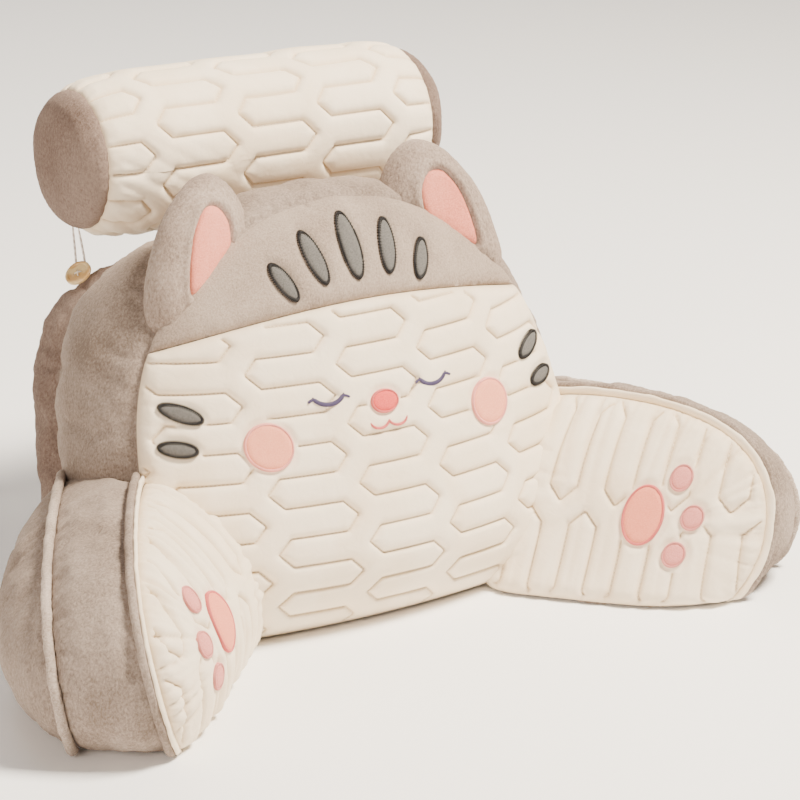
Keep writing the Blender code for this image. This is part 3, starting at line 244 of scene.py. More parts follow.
# -------------------------------------------------- lines and distances
def smooth_line(points, steps):
    """A smooth curve through the points, with the given number of steps between two of them."""
    ends = [2 * np.array(points[0]) - np.array(points[1]), 2 * np.array(points[-1]) - np.array(points[-2])]
    knots = [ends[0]] + [np.array(p, float) for p in points] + [ends[1]]
    line = []
    for a, b, c, d in zip(knots, knots[1:], knots[2:], knots[3:]):
        for step in range(steps):
            t = step / steps
            line.append(0.5 * (2 * b + (c - a) * t + (2 * a - 5 * b + 4 * c - d) * t ** 2
                               + (3 * b - a - 3 * c + d) * t ** 3))
    line.append(knots[-2])
    line = np.array(line)
    line[:, -1] = np.maximum(line[:, -1], 0.0)
    return line


def mirror_arch(half, steps):
    """A whole arch from its right half."""
    right = smooth_line(half, steps)
    return np.vstack([right, right[::-1][1:] * np.array([-1.0, 1.0])])


def outward(arch):
    """Unit directions out of an arch at each of its points."""
    along = np.gradient(arch, axis=0)
    side = np.stack([along[:, 1], -along[:, 0]], axis=1)
    return side / np.linalg.norm(side, axis=1)[:, None]


def reach(arch, spots):
    """Distance from the floor middle to an arch, in the direction of each spot."""
    turn = np.arctan2(arch[:, 1], arch[:, 0])
    order = np.argsort(turn)
    aim = np.arctan2(np.maximum(spots[:, 1], 0.0), spots[:, 0])
    return np.interp(aim, turn[order], np.hypot(arch[:, 0], arch[:, 1])[order])


def nearest_on(line, spots, closed=False):
    """Distance of each spot to a polyline, and the run along it at the nearest point."""
    line = np.asarray(line, float)
    ends = np.roll(line, -1, axis=0) if closed else line[1:]
    starts = line if closed else line[:-1]
    best = np.full(len(spots), 1e9)
    run_at = np.zeros(len(spots))
    run = 0.0
    for a, b in zip(starts, ends):
        d = b - a
        length = math.sqrt(float(d @ d)) + 1e-12
        t = np.clip(((spots - a) @ d) / length ** 2, 0, 1)
        away = np.linalg.norm(spots - a - t[:, None] * d, axis=1)
        closer = away < best
        best = np.where(closer, away, best)
        run_at = np.where(closer, run + t * length, run_at)
        run += length
    return best, run_at


def inside_of(border, spots):
    """Signed distance of spots to a closed border, positive inside, and the run along it."""
    border = np.asarray(border, float)
    best, run_at = nearest_on(border, spots, closed=True)
    inside = np.zeros(len(spots), bool)
    for (ax, ay), (bx, by) in zip(border, np.roll(border, -1, axis=0)):
        if by != ay:
            crosses = (spots[:, 1] > ay) != (spots[:, 1] > by)
            inside ^= crosses & (spots[:, 0] < ax + (bx - ax) * (spots[:, 1] - ay) / (by - ay))
    return np.where(inside, best, -best), run_at


def even_line(line, pitch, closed=False):
    """The same line with points about one pitch apart, its corners kept."""
    line = [tuple(p) for p in line]
    ends = line[1:] + line[:1] if closed else line[1:]
    out = []
    for start, end in zip(line, ends):
        parts = max(1, round(math.dist(start, end) / pitch))
        for i in range(parts):
            out.append([s + (e - s) * i / parts for s, e in zip(start, end)])
    if not closed:
        out.append(list(line[-1]))
    return np.array(out)


def wave(run, length, seed=0.0):
    """A smooth uneven wave along a line, between about -1 and 1."""
    x = run * (2 * math.pi / length)
    return (np.sin(x + seed) + 0.7 * np.sin(1.73 * x + 2.1 * seed + 1.0)
            + 0.5 * np.sin(2.91 * x + 0.7 * seed)) / 1.8


def humps(phase, power, level):
    """Rounded humps with tight valleys between them, lowered by about their usual height."""
    return np.abs(np.sin(phase)) ** power - level


def folds(run, length, seed):
    """Rounded folds with tight valleys between them, uneven in width and height."""
    spread = run / length + 0.55 * wave(run, 4.3 * length, seed)
    height = 0.75 + 0.45 * wave(run, 3.1 * length, seed + 2)
    return humps(math.pi * spread, 0.65, 0.62) * height


def eased(distance, length):
    """A share that grows from 0 at a seam to 1 at the given length from it."""
    return np.minimum(1.0, distance / length)


def fading(distance, length):
    """A share that fades away from 1 at a seam: about a third is left at the given length from it."""
    return np.exp(-distance / length)


def rumple(spots, size, seed):
    """Smooth noise at each spot, between about -1 and 1."""
    shift = Vector((seed * 3.1, seed * 1.7, seed * 0.9))
    return np.array([noise.noise(Vector(p) / size + shift) for p in spots])


FRONT_ARCH = mirror_arch(FRONT_SEAM, 6)
BACK_ARCH = mirror_arch(BACK_SEAM, 6)
ARM_OUTLINE = smooth_line(ARM_ARCH, 5)


# -------------------------------------------------- curved faces, worked out for many points at once
def front_face(spots, lift):
    """Points of the reclined front face: spots are (across, z), lifted off it along its normal."""
    across, up = spots[:, 0], spots[:, 1]
    share = np.hypot(across, up) / reach(FRONT_ARCH, spots)
    edge = np.maximum(0.0, (share - TUCK_FROM) / (1 - TUCK_FROM)) ** 2
    tuck = BACK_TUCK * (TUCK_LOW + (1 - TUCK_LOW) * (up / FRONT_SEAM[-1][1]) ** 2) * edge
    foot = FOOT_TUCK + FOOT_STRAIGHT * np.maximum(0.0, 1 - (across / FRONT_SEAM[0][0]) ** 2)
    tuck += foot * np.maximum(0.0, 1 - up / FOOT_HIGH) ** 2
    depth = BACK_LEAN * up + BACK_BOW * across ** 2 + tuck - CENTRE_Y
    normal = np.stack([2 * BACK_BOW * across, np.full_like(up, -1.0), np.full_like(up, BACK_LEAN)], axis=1)
    normal /= np.linalg.norm(normal, axis=1)[:, None]
    return np.stack([across, depth, up], axis=1) + normal * np.asarray(lift)[:, None]


def rear_face(spots):
    """Points of the back face: spots are (across, z)."""
    depth = REAR_BASE + REAR_LEAN * spots[:, 1] + REAR_BOW * spots[:, 0] ** 2 - CENTRE_Y
    return np.stack([spots[:, 0], depth, spots[:, 1]], axis=1)


def arm_frame(side):
    """Root of an arm on the floor, its direction and the way out of its inner face."""
    root = np.array([side * ARM_ROOT[0], ARM_ROOT[1] - CENTRE_Y, 0.0])
    along = np.array([side * math.sin(ARM_SPLAY), -math.cos(ARM_SPLAY), 0.0])
    out = np.array([side * math.cos(ARM_SPLAY), math.sin(ARM_SPLAY), 0.0])
    return root, along, out


def stretched(side, along):
    """A length along the arm, drawn out in front of its root."""
    return along * (1 + ARM_STRETCH[side] * np.clip(along / 0.09, 0, 1))


def inner_offset(side, spots):
    """How far out the arm's inner face lies: low and puffed near the sitter, drawn out to its seam."""
    along, up = spots[:, 0], spots[:, 1]
    foot = ARM_FOOT[side] * np.maximum(0.0, 1 - up / ARM_FOOT_HIGH) ** 2
    puffed = -0.086 + 0.25 * along + 0.38 * up + foot
    seam = ARM_LEAN * up + np.minimum(0.0, foot)
    share = np.minimum(1.0, np.hypot(along, up) / reach(ARM_OUTLINE, spots))
    return puffed + (seam - puffed) * share ** 5


def arm_face(side):
    """The arm's inner face, as a function like front_face."""
    root, run, out = arm_frame(side)
    step = 0.002

    def place(spots, lift):
        base = inner_offset(side, spots)
        ahead, behind = inner_offset(side, spots + (step, 0)), inner_offset(side, spots - (step, 0))
        low = np.maximum(spots - (0, step), (-9.0, 0.0))
        over, under = inner_offset(side, spots + (0, step)), inner_offset(side, low)
        slope_along = (ahead - behind) / (2 * step)
        slope_up = (over - under) / (step + spots[:, 1] - low[:, 1])
        normal = -out + run * slope_along[:, None] + np.array([0, 0, 1.0]) * slope_up[:, None]
        normal /= np.linalg.norm(normal, axis=1)[:, None]
        up = np.stack([0 * base, 0 * base, spots[:, 1]], axis=1)
        length = stretched(side, spots[:, :1])
        points = root + run * length + out * base[:, None] + up + normal * np.asarray(lift)[:, None]
        points[:, 2] = np.maximum(points[:, 2], 0.0)
        return points

    return place


def outer_seam(side):
    """The arm's outer seam on the frame: lower than the inner one and longer to the rear."""
    root, run, out = arm_frame(side)
    front = max(along for along, up in ARM_ARCH)
    rear_share = (front - ARM_OUTLINE[:, 0]) / (front - ARM_REAR)
    up = ARM_OUTLINE[:, 1]
    along = ARM_OUTLINE[:, 0] + (ARM_REAR_OUTER - ARM_REAR) * rear_share - 0.10 * up * (1 - rear_share)
    away = ARM_THICK + 0.16 * up
    height = np.stack([0 * up, 0 * up, up * (1 - ARM_DROP)], axis=1)
    return root + run * stretched(side, along)[:, None] + out * away[:, None] + height


def roll_face(spots, radius):
    """Points of the roll: spots are (along, turn in radians)."""
    x, turn = spots[:, 0], spots[:, 1]
    y, z = -radius * np.cos(turn), radius * np.sin(turn)
    x, z = (x * math.cos(ROLL_DROP) + z * math.sin(ROLL_DROP),
            z * math.cos(ROLL_DROP) - x * math.sin(ROLL_DROP))
    x, y = (x * math.cos(ROLL_YAW) - y * math.sin(ROLL_YAW),
            y * math.cos(ROLL_YAW) + x * math.sin(ROLL_YAW))
    return np.stack([ROLL_AT[0] + x, ROLL_AT[1] - CENTRE_Y + y, ROLL_AT[2] + z], axis=1)


# -------------------------------------------------- materials
def linear(hex_colour):
    """An sRGB hex colour as linear values for a socket."""
    parts = [int(hex_colour[i:i + 2], 16) / 255 for i in (1, 3, 5)]
    return (*[p / 12.92 if p <= 0.04045 else ((p + 0.055) / 1.055) ** 2.4 for p in parts], 1.0)


def add_node(tree, kind, props=None, values=None, links=None):
    """Adds a node with its properties, its input values and its links."""
    made = tree.nodes.new(kind)
    for name, value in (props or {}).items():
        setattr(made, name, value)
    for name, value in (values or {}).items():
        made.inputs[name].default_value = value
    for name, source in (links or {}).items():
        tree.links.new(source, made.inputs[name])
    return made


def start_material(name):
    """A new material, its empty tree, its output and the object coordinates."""
    material = bpy.data.materials.new(name)
    material.use_nodes = True
    tree = material.node_tree
    tree.nodes.clear()
    output = add_node(tree, "ShaderNodeOutputMaterial")
    place = add_node(tree, "ShaderNodeTexCoord").outputs["Object"]
    return material, tree, output, place


def colour_steps(tree, source, steps):
    """A colour ramp through (position, hex) steps."""
    steps = list(steps)
    ramp = add_node(tree, "ShaderNodeValToRGB", links={"Fac": source})
    band = ramp.color_ramp
    while len(band.elements) < len(steps):
        band.elements.new(0.5)
    for element, (position, colour) in zip(band.elements, steps):
        element.position = position
        element.color = linear(colour)
    return ramp.outputs["Color"]


def quilted_velvet(name, lit, mid, deep):
    """Cream velvet with a very short nap, quilted through: soft sheen, faint clouds, painted shade in the
    stitch lines, by the seams and in the fold valleys.
    """
    material, tree, output, place = start_material(name)
    cloud = add_node(tree, "ShaderNodeTexNoise", values={"Scale": 14.0, "Detail": 3.0, "Distortion": 0.8},
                     links={"Vector": place})
    colour = colour_steps(tree, cloud.outputs["Fac"], [(0.30, mid), (0.62, lit)])
    # attribute with the painted shade of the stitch channels, the seams and the fold valleys
    painted_shade = add_node(tree, "ShaderNodeAttribute", props={"attribute_name": "painted_shade"})
    painted_shade_mix = add_node(tree, "ShaderNodeMix", props={"data_type": "RGBA"},
                      links={"Factor": painted_shade.outputs["Fac"]})
    tree.links.new(colour, painted_shade_mix.inputs[6])
    # deep is the painted shade colour, mixed in by that attribute
    painted_shade_mix.inputs[7].default_value = linear(deep)
    nap = add_node(tree, "ShaderNodeTexNoise", values={"Scale": 1000 / 0.9, "Detail": 4.0, "Roughness": 0.7},
                   links={"Vector": place})                      # nap tufts about 0.9 mm apart
    crease = add_node(tree, "ShaderNodeTexNoise",
                      values={"Scale": 1000 / 11.0, "Detail": 2.0, "Distortion": 1.2},
                      links={"Vector": place})                   # soft drag creases about 11 mm apart
    fine = add_node(tree, "ShaderNodeBump", values={"Strength": 0.22, "Distance": 0.0006},
                    links={"Height": nap.outputs["Fac"]})
    soft = add_node(tree, "ShaderNodeBump", values={"Strength": 0.25, "Distance": 0.0018},
                    links={"Height": crease.outputs["Fac"], "Normal": fine.outputs["Normal"]})
    shader = add_node(tree, "ShaderNodeBsdfPrincipled",
                      values={"Roughness": 0.78, "Specular IOR Level": 0.25, "Sheen Weight": 0.22,
                              "Sheen Roughness": 0.45, "Sheen Tint": linear("#FFF6E8")},
                      links={"Base Color": painted_shade_mix.outputs[2], "Normal": soft.outputs["Normal"]})
    tree.links.new(shader.outputs["BSDF"], output.inputs["Surface"])
    return material


def short_plush(name, lit, mid, deep, pile=1.3, comb=(1.0, 1.0, 0.6), rear=None):
    """Short-pile plush: clouds where the pile is brushed over, dark gaps between its tufts, a bright edge.

    pile is its length in millimetres and comb the way it lies. Where the attribute darker is set, the three
    colours of rear take over.
    """
    material, tree, output, place = start_material(name)
    warp = add_node(tree, "ShaderNodeMapping", values={"Scale": comb}, links={"Vector": place})
    cloud = add_node(tree, "ShaderNodeTexNoise",
                     values={"Scale": 11.0, "Detail": 2.0, "Roughness": 0.5, "Distortion": 0.4},
                     links={"Vector": place})                    # brushed patches about 90 mm across
    tuft = add_node(tree, "ShaderNodeTexNoise",
                    values={"Scale": 1000 / (1.8 * pile), "Detail": 5.0, "Roughness": 0.72,
                            "Distortion": 0.3},
                    links={"Vector": warp.outputs["Vector"]})    # tufts 1.8 times as wide as the pile is long
    speck = add_node(tree, "ShaderNodeMath", props={"operation": "MULTIPLY_ADD"}, values={1: 0.62},
                     links={0: tuft.outputs["Fac"]})
    share = add_node(tree, "ShaderNodeMath", props={"operation": "MULTIPLY"}, values={1: 0.38},
                     links={0: cloud.outputs["Fac"]})
    tree.links.new(share.outputs[0], speck.inputs[2])
    steps = (0.38, 0.50, 0.62)
    colour = colour_steps(tree, speck.outputs[0], zip(steps, (deep, mid, lit)))
    if rear is not None:
        part = add_node(tree, "ShaderNodeAttribute", props={"attribute_name": "darker"})
        both = add_node(tree, "ShaderNodeMix", props={"data_type": "RGBA"},
                        links={"Factor": part.outputs["Fac"]})
        tree.links.new(colour, both.inputs[6])
        dark = colour_steps(tree, speck.outputs[0], zip(steps, rear[::-1]))
        tree.links.new(dark, both.inputs[7])
        colour = both.outputs[2]
    raised = add_node(tree, "ShaderNodeBump", values={"Strength": 0.80, "Distance": 0.0012},
                      links={"Height": tuft.outputs["Fac"]})
    shader = add_node(tree, "ShaderNodeBsdfPrincipled",
                      values={"Roughness": 0.93, "Specular IOR Level": 0.12, "Sheen Weight": 0.40,
                              "Sheen Roughness": 0.50, "Sheen Tint": linear(lit)},
                      links={"Base Color": colour, "Normal": raised.outputs["Normal"]})
    tree.links.new(shader.outputs["BSDF"], output.inputs["Surface"])
    return material


def brushed_felt(name, lit, deep):
    """Close-cropped plush of the sewn-down patches: fine even speckle 1.1 mm wide, hardly any nap."""
    material, tree, output, place = start_material(name)
    grain = add_node(tree, "ShaderNodeTexNoise",
                     values={"Scale": 1000 / 1.1, "Detail": 4.0, "Roughness": 0.75},
                     links={"Vector": place})
    colour = colour_steps(tree, grain.outputs["Fac"], [(0.34, deep), (0.62, lit)])
    raised = add_node(tree, "ShaderNodeBump", values={"Strength": 0.45, "Distance": 0.0008},
                      links={"Height": grain.outputs["Fac"]})
    shader = add_node(tree, "ShaderNodeBsdfPrincipled",
                      values={"Roughness": 0.9, "Specular IOR Level": 0.15, "Sheen Weight": 0.08},
                      links={"Base Color": colour, "Normal": raised.outputs["Normal"]})
    tree.links.new(shader.outputs["BSDF"], output.inputs["Surface"])
    return material


def spun_thread(name, colour, shine=0.5):
    """Polyester sewing thread: slightly glossy, with faint strands 0.4 mm apart."""
    material, tree, output, place = start_material(name)
    strand = add_node(tree, "ShaderNodeTexNoise", values={"Scale": 1000 / 0.4, "Detail": 2.0},
                      links={"Vector": place})
    raised = add_node(tree, "ShaderNodeBump", values={"Strength": 0.3, "Distance": 0.0002},
                      links={"Height": strand.outputs["Fac"]})
    shader = add_node(tree, "ShaderNodeBsdfPrincipled",
                      values={"Base Color": linear(colour), "Roughness": shine, "Specular IOR Level": 0.4},
                      links={"Normal": raised.outputs["Normal"]})
    tree.links.new(shader.outputs["BSDF"], output.inputs["Surface"])
    return material


def lacquered_pine(name):
    """Turned light pine with clear lacquer: thin growth rings about 2.4 mm apart and fine pores."""
    material, tree, output, place = start_material(name)
    grain = add_node(tree, "ShaderNodeTexNoise", values={"Scale": 220.0, "Detail": 3.0},
                     links={"Vector": place})
    ring = add_node(tree, "ShaderNodeTexWave", props={"wave_type": "RINGS"},
                    values={"Scale": 1000 / (2.4 * 20), "Distortion": 5.0, "Detail": 2.0,
                            "Detail Scale": 3.0},
                    links={"Vector": place})
    colour = colour_steps(tree, ring.outputs["Color"], [(0.1, "#C99F62"), (0.75, "#E6CB95")])
    rough = add_node(tree, "ShaderNodeMapRange", values={"To Min": 0.36, "To Max": 0.52},
                     links={"Value": grain.outputs["Fac"]})
    raised = add_node(tree, "ShaderNodeBump", values={"Strength": 0.12, "Distance": 0.0002},
                      links={"Height": grain.outputs["Fac"]})
    shader = add_node(tree, "ShaderNodeBsdfPrincipled",
                      values={"Coat Weight": 0.25, "Coat Roughness": 0.3},
                      links={"Base Color": colour, "Roughness": rough.outputs["Result"],
                             "Normal": raised.outputs["Normal"]})
    tree.links.new(shader.outputs["BSDF"], output.inputs["Surface"])
    return material


def covered_elastic(name):
    """Round elastic in a woven cover: off-white, with slanting ribs under a millimetre apart."""
    material, tree, output, place = start_material(name)
    rib = add_node(tree, "ShaderNodeTexWave", props={"bands_direction": "DIAGONAL"},
                   values={"Scale": 1000 / (0.9 * 20), "Distortion": 0.6}, links={"Vector": place})
    colour = colour_steps(tree, rib.outputs["Color"], [(0.2, "#D8CFC9"), (0.8, "#F1ECE7")])
    raised = add_node(tree, "ShaderNodeBump", values={"Strength": 0.5, "Distance": 0.0003},
                      links={"Height": rib.outputs["Color"]})
    shader = add_node(tree, "ShaderNodeBsdfPrincipled", values={"Roughness": 0.7},
                      links={"Base Color": colour, "Normal": raised.outputs["Normal"]})
    tree.links.new(shader.outputs["BSDF"], output.inputs["Surface"])
    return material


def pale_paper(name):
    """Matt white paper under the pillow: hardly any gloss, so that its shadows stay soft."""
    material, tree, output, _ = start_material(name)
    shader = add_node(tree, "ShaderNodeBsdfPrincipled",
                      values={"Base Color": linear("#FFFFFF"), "Roughness": 0.9, "Specular IOR Level": 0.1})
    tree.links.new(shader.outputs["BSDF"], output.inputs["Surface"])
    return material


TAUPE = ("#8F7D72", "#7B695F", "#625149")
FINISH = {
    # the third cream colour is painted shade, for the stitch channels, the seams and the fold valleys
    "cream": quilted_velvet("cream_velvet", "#F5E7D0", "#EFDEC3", "#CDB28C"),
    "grey": short_plush("warm_grey_plush", "#B1A193", "#A09083", "#86766A", pile=1.0, comb=(1.0, 1.0, 0.8)),
    "cover": short_plush("warm_grey_cover_plush", "#A99A8E", "#918277", "#75665B", comb=(1.0, 1.0, 0.7),
                         rear=TAUPE),
    "fur": short_plush("brushed_ear_plush", "#B3A397", "#9C8B7F", "#7D6C61", comb=(1.0, 1.0, 0.6)),
    "taupe": short_plush("taupe_plush", *TAUPE, comb=(1.0, 1.0, 0.7)),
    "fleece": short_plush("sheared_fleece", "#C8B9AD", "#AE9E92", "#897A6E", pile=1.1, comb=(1.0, 1.0, 1.0)),
    "pink": short_plush("blush_plush", "#EFA08C", "#E58D79", "#D07461", pile=0.8, comb=(1.0, 1.0, 1.0)),
    "patch_grey": brushed_felt("cropped_plush_grey", "#706E6B", "#4F4D4C"),
    "patch_pink": brushed_felt("cropped_plush_pink", "#F29A80", "#E58068"),
    "patch_rose": brushed_felt("cropped_plush_rose", "#E39A91", "#CF7A74"),
    "cheek": brushed_felt("cropped_plush_peach", "#F4A78B", "#E98F75"),
    "nose": brushed_felt("cropped_plush_coral", "#E9665F", "#D24B49"),
    "black": spun_thread("black_polyester_thread", "#1C1A1B"),
    "plum": spun_thread("plum_polyester_thread", "#4B4262"),
    "coral": spun_thread("coral_polyester_thread", "#D9706C"),
    "rose": spun_thread("rose_polyester_thread", "#DA918A"),
    "blush": spun_thread("blush_polyester_thread", "#EFA59A"),
    "ecru": spun_thread("ecru_polyester_thread", "#F1E7D6", shine=0.6),
    "pine": lacquered_pine("lacquered_pine"),
    "elastic": covered_elastic("covered_elastic"),
}


# -------------------------------------------------- meshes and the frame
def link(name, data):
    """A new object in the scene."""
    made = bpy.data.objects.new(name, data)
    bpy.context.scene.collection.objects.link(made)
    return made


def turn_out(mesh, merged=None):
    """Turns a mesh's faces outwards, after points closer than merged are made one."""
    net = bmesh.new()
    net.from_mesh(mesh)
    if merged is not None:
        bmesh.ops.remove_doubles(net, verts=net.verts, dist=merged)
    bmesh.ops.recalc_face_normals(net, faces=net.faces)
    net.to_mesh(mesh)
    net.free()


def new_piece(name, verts, faces, material, smooth=True):
    """A mesh object at the origin, with its place in its points and its faces turned outwards."""
    mesh = bpy.data.meshes.new(name)
    mesh.from_pydata([tuple(v) for v in verts], [], [tuple(int(i) for i in f) for f in faces])
    turn_out(mesh)
    mesh.materials.append(material)
    if smooth:
        mesh.shade_smooth()
    return link(name, mesh)


def settle(piece):
    """Applies a piece's modifiers."""
    depsgraph = bpy.context.evaluated_depsgraph_get()
    mesh = bpy.data.meshes.new_from_object(piece.evaluated_get(depsgraph))
    piece.modifiers.clear()
    old = piece.data
    piece.data = mesh
    bpy.data.meshes.remove(old)
    return piece


def points_of(piece, what="co"):
    flat = np.zeros(len(piece.data.vertices) * 3)
    piece.data.vertices.foreach_get(what, flat)
    return flat.reshape(-1, 3)


def normals_of(piece):
    return points_of(piece, "normal")


def set_points(piece, points):
    """Moves a piece's points, none of them under the floor."""
    points = np.array(points)
    points[:, 2] = np.maximum(points[:, 2], 0.0)
    piece.data.vertices.foreach_set("co", points.astype(np.float32).ravel())
    piece.data.update()


def set_attribute(piece, name, values):
    attribute = piece.data.attributes.new(name, "FLOAT", "POINT")
    attribute.data.foreach_set("value", np.asarray(values, np.float32))


def node_copy(node, name, material):
    """A merged copy of a solid from the frame."""
    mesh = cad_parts[node].data.copy()
    turn_out(mesh, 0.00002)
    mesh.name = name
    mesh.materials.clear()
    mesh.materials.append(material)
    mesh.shade_smooth()
    return link(name, mesh)


def join_into(piece, others):
    """Makes several meshes one piece, each with its own material."""
    bpy.ops.object.select_all(action="DESELECT")
    for other in [piece] + others:
        other.select_set(True)
    bpy.context.view_layer.objects.active = piece
    bpy.ops.object.join()
    return piece


def keep(piece, nodes=()):
    """Hands a finished piece to the frame, with no point of it under the floor."""
    set_points(piece, points_of(piece))
    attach(piece, "root")
    if nodes:
        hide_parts(*nodes)
    return piece


# -------------------------------------------------- threads, by Geometry Nodes
def thread_tree():
    """Sweeps a round thread along every line of a wire mesh."""
    tree = bpy.data.node_groups.new("sewn_threads", "GeometryNodeTree")
    face = tree.interface
    face.new_socket("Geometry", in_out="INPUT", socket_type="NodeSocketGeometry")
    radius = face.new_socket("Thread radius", in_out="INPUT", socket_type="NodeSocketFloat")
    radius.default_value = THREAD_RADIUS
    sides = face.new_socket("Sides", in_out="INPUT", socket_type="NodeSocketInt")
    sides.default_value = 5
    face.new_socket("Thread", in_out="INPUT", socket_type="NodeSocketMaterial")
    face.new_socket("Geometry", in_out="OUTPUT", socket_type="NodeSocketGeometry")
    given = add_node(tree, "NodeGroupInput").outputs
    lines = add_node(tree, "GeometryNodeMeshToCurve", links={"Mesh": given["Geometry"]})
    round_end = add_node(tree, "GeometryNodeCurvePrimitiveCircle",
                         links={"Resolution": given["Sides"], "Radius": given["Thread radius"]})
    swept = add_node(tree, "GeometryNodeCurveToMesh", values={"Fill Caps": True},
                     links={"Curve": lines.outputs["Curve"], "Profile Curve": round_end.outputs["Curve"]})
    real = add_node(tree, "GeometryNodeRealizeInstances", links={"Geometry": swept.outputs["Mesh"]})
    smooth = add_node(tree, "GeometryNodeSetShadeSmooth", links={"Geometry": real.outputs["Geometry"]})
    coloured = add_node(tree, "GeometryNodeSetMaterial",
                        links={"Geometry": smooth.outputs["Geometry"], "Material": given["Thread"]})
    add_node(tree, "NodeGroupOutput", links={"Geometry": coloured.outputs["Geometry"]})
    return tree


THREADS = thread_tree()


def run_tree(piece, tree, values):
    """Runs a node tree on a piece, with its named inputs set by their identifiers, and applies it."""
    modifier = piece.modifiers.new(tree.name, "NODES")
    modifier.node_group = tree
    for item in tree.interface.items_tree:
        if item.in_out == "INPUT" and item.name in values:
            modifier[item.identifier] = values[item.name]
    return settle(piece)


def sew(name, lines, material, radius=THREAD_RADIUS, sides=5):
    """A piece of thread along each of the given 3-D lines."""
    verts, edges = [], []
    for line in lines:
        first = len(verts)
        verts += [tuple(p) for p in line]
        edges += [(first + i, first + i + 1) for i in range(len(line) - 1)]
    mesh = bpy.data.meshes.new(name)
    mesh.from_pydata(verts, edges, [])
    return run_tree(link(name, mesh), THREADS, {"Thread radius": radius, "Sides": sides, "Thread": material})


def running_stitches(lines, place, lift):
    """Splits flat lines into stitches and lays them on a face, each sunk at its two ends."""
    stitches = []
    for line in lines:
        fine = even_line(line, 0.0004)
        run = np.concatenate([[0.0], np.cumsum(np.linalg.norm(np.diff(fine, axis=0), axis=1))])
        start = 0.0
        while start + STITCH_LONG < run[-1]:
            at = start + STITCH_LONG * np.array([0.0, 0.25, 0.75, 1.0])
            stitches.append(np.stack([np.interp(at, run, fine[:, i]) for i in (0, 1)], axis=1))
            start += STITCH_LONG + STITCH_GAP
    if not stitches:
        return []
    heights = np.tile([lift - 0.0010, lift + 0.0001, lift + 0.0001, lift - 0.0010], len(stitches))
    laid = place(np.vstack(stitches), heights)
    return [laid[4 * i:4 * i + 4] for i in range(len(stitches))]


def edge_stitches(outline, place, lift, inner, outer, pitch, slant=0.0, rise=0.0006):
    """Stitches across a patch's edge, side by side: satin when close, blanket stitch when apart."""
    line = even_line(outline, pitch, closed=True)
    along = np.roll(line, -1, axis=0) - np.roll(line, 1, axis=0)
    side = np.stack([along[:, 1], -along[:, 0]], axis=1)
    side /= np.linalg.norm(side, axis=1)[:, None]
    away = inside_of(outline, line + side * 0.001)[0]
    side = np.where((away > 0)[:, None], -side, side)
    along /= np.linalg.norm(along, axis=1)[:, None]
    spots, heights = [], []
    for share, height in ((0.0, -0.0003), (0.3, rise), (0.7, rise * 0.8), (1.0, -0.0026)):
        reach_out = -inner + (inner + outer) * share
        spots.append(line + side * reach_out + along * slant * share)
        heights.append(np.full(len(line), lift + height))
    laid = [place(s, h) for s, h in zip(spots, heights)]
    return [np.array([rows[i] for rows in laid]) for i in range(len(line))]


# -------------------------------------------------- quilting
def pad_rise(to_stitch):
    """Height of a pad beside its stitches, as a share: steep at first, then nearly flat."""
    near = eased(to_stitch, PAD_EDGE)
    return 0.62 * (1 - (1 - eased(near, 0.42)) ** 2.0) + 0.38 * (1 - (1 - near) ** 2.0)


def serpentine(column, low, high, shift=0.0):
    """One stitched column: straight runs to and fro, joined by pointed turns."""
    middle = column * QUILT_COLUMN + shift
    line = []
    for run in range(math.floor(low / QUILT_RUN) - 1, math.ceil(high / QUILT_RUN) + 1):
        way = 1 if run % 2 == 0 else -1
        level = run * QUILT_RUN
        line += [(middle - way * QUILT_STRAIGHT, level), (middle + way * QUILT_STRAIGHT, level),
                 (middle + way * QUILT_TIP, level + QUILT_RUN / 2)]
    return line


def clipped(line, allowed):
    """The stretches of a line where allowed(points) holds, as evenly spaced points."""
    spots = even_line(line, LINE_PITCH)
    stretches, current = [], []
    for spot, good in zip(spots, allowed(spots)):
        if good:
            current.append(spot)
            continue
        if len(current) > LEAST_POINTS:
            stretches.append(np.array(current))
        current = []
    if len(current) > LEAST_POINTS:
        stretches.append(np.array(current))
    return stretches


def side_line(line, away):
    """A line beside another, on one side of it."""
    along = np.gradient(line, axis=0)
    side = np.stack([along[:, 1], -along[:, 0]], axis=1)
    return line + side / np.maximum(np.linalg.norm(side, axis=1), 1e-9)[:, None] * away


def ellipse(patch, grow=0.0, count=48):
    """Outline of a rounded patch, widened all round by grow."""
    _, across, up, wide, high, turn = patch
    angle = np.linspace(0, 2 * math.pi, count, endpoint=False)
    x, y = (wide + grow) * np.cos(angle), (high + grow) * np.sin(angle)
    c, s = math.cos(math.radians(turn)), math.sin(math.radians(turn))
    return np.stack([across + x * c - y * s, up + x * s + y * c], axis=1)


def nearest_of(lines, spots):
    """Distance to the nearest of several lines and the run along it, shifted from line to line."""
    best = np.full(len(spots), 1e9)
    run_at = np.zeros(len(spots))
    for number, line in enumerate(lines):
        low, high = line.min(axis=0) - 0.02, line.max(axis=0) + 0.02
        near = np.all((spots > low) & (spots < high), axis=1)
        if not near.any():
            continue
        away, run = nearest_on(line[::2] if len(line) > 20 else line, spots[near])
        closer = away < best[near]
        index = np.flatnonzero(near)[closer]
        best[index] = away[closer]
        run_at[index] = run[closer] + number * 0.37
    return np.minimum(best, 0.03), run_at


def honeycomb(border, pitch, margin, avoid=None, clear=0.0):
    """Evenly packed points inside a border, clear of the lines to avoid."""
    low, high = border.min(axis=0), border.max(axis=0)
    rows = []
    for j, y in enumerate(np.arange(low[1] + pitch / 2, high[1], pitch * 0.87)):
        x = np.arange(low[0] + pitch * (0.5 if j % 2 else 0.0), high[0], pitch)
        rows.append(np.stack([x, np.full_like(x, y)], axis=1))
    spots = np.vstack(rows)
    spots = spots[inside_of(border, spots)[0] > margin]
    if avoid is not None and len(avoid):
        spots = spots[nearest_of(avoid, spots)[0] > clear]
    return spots


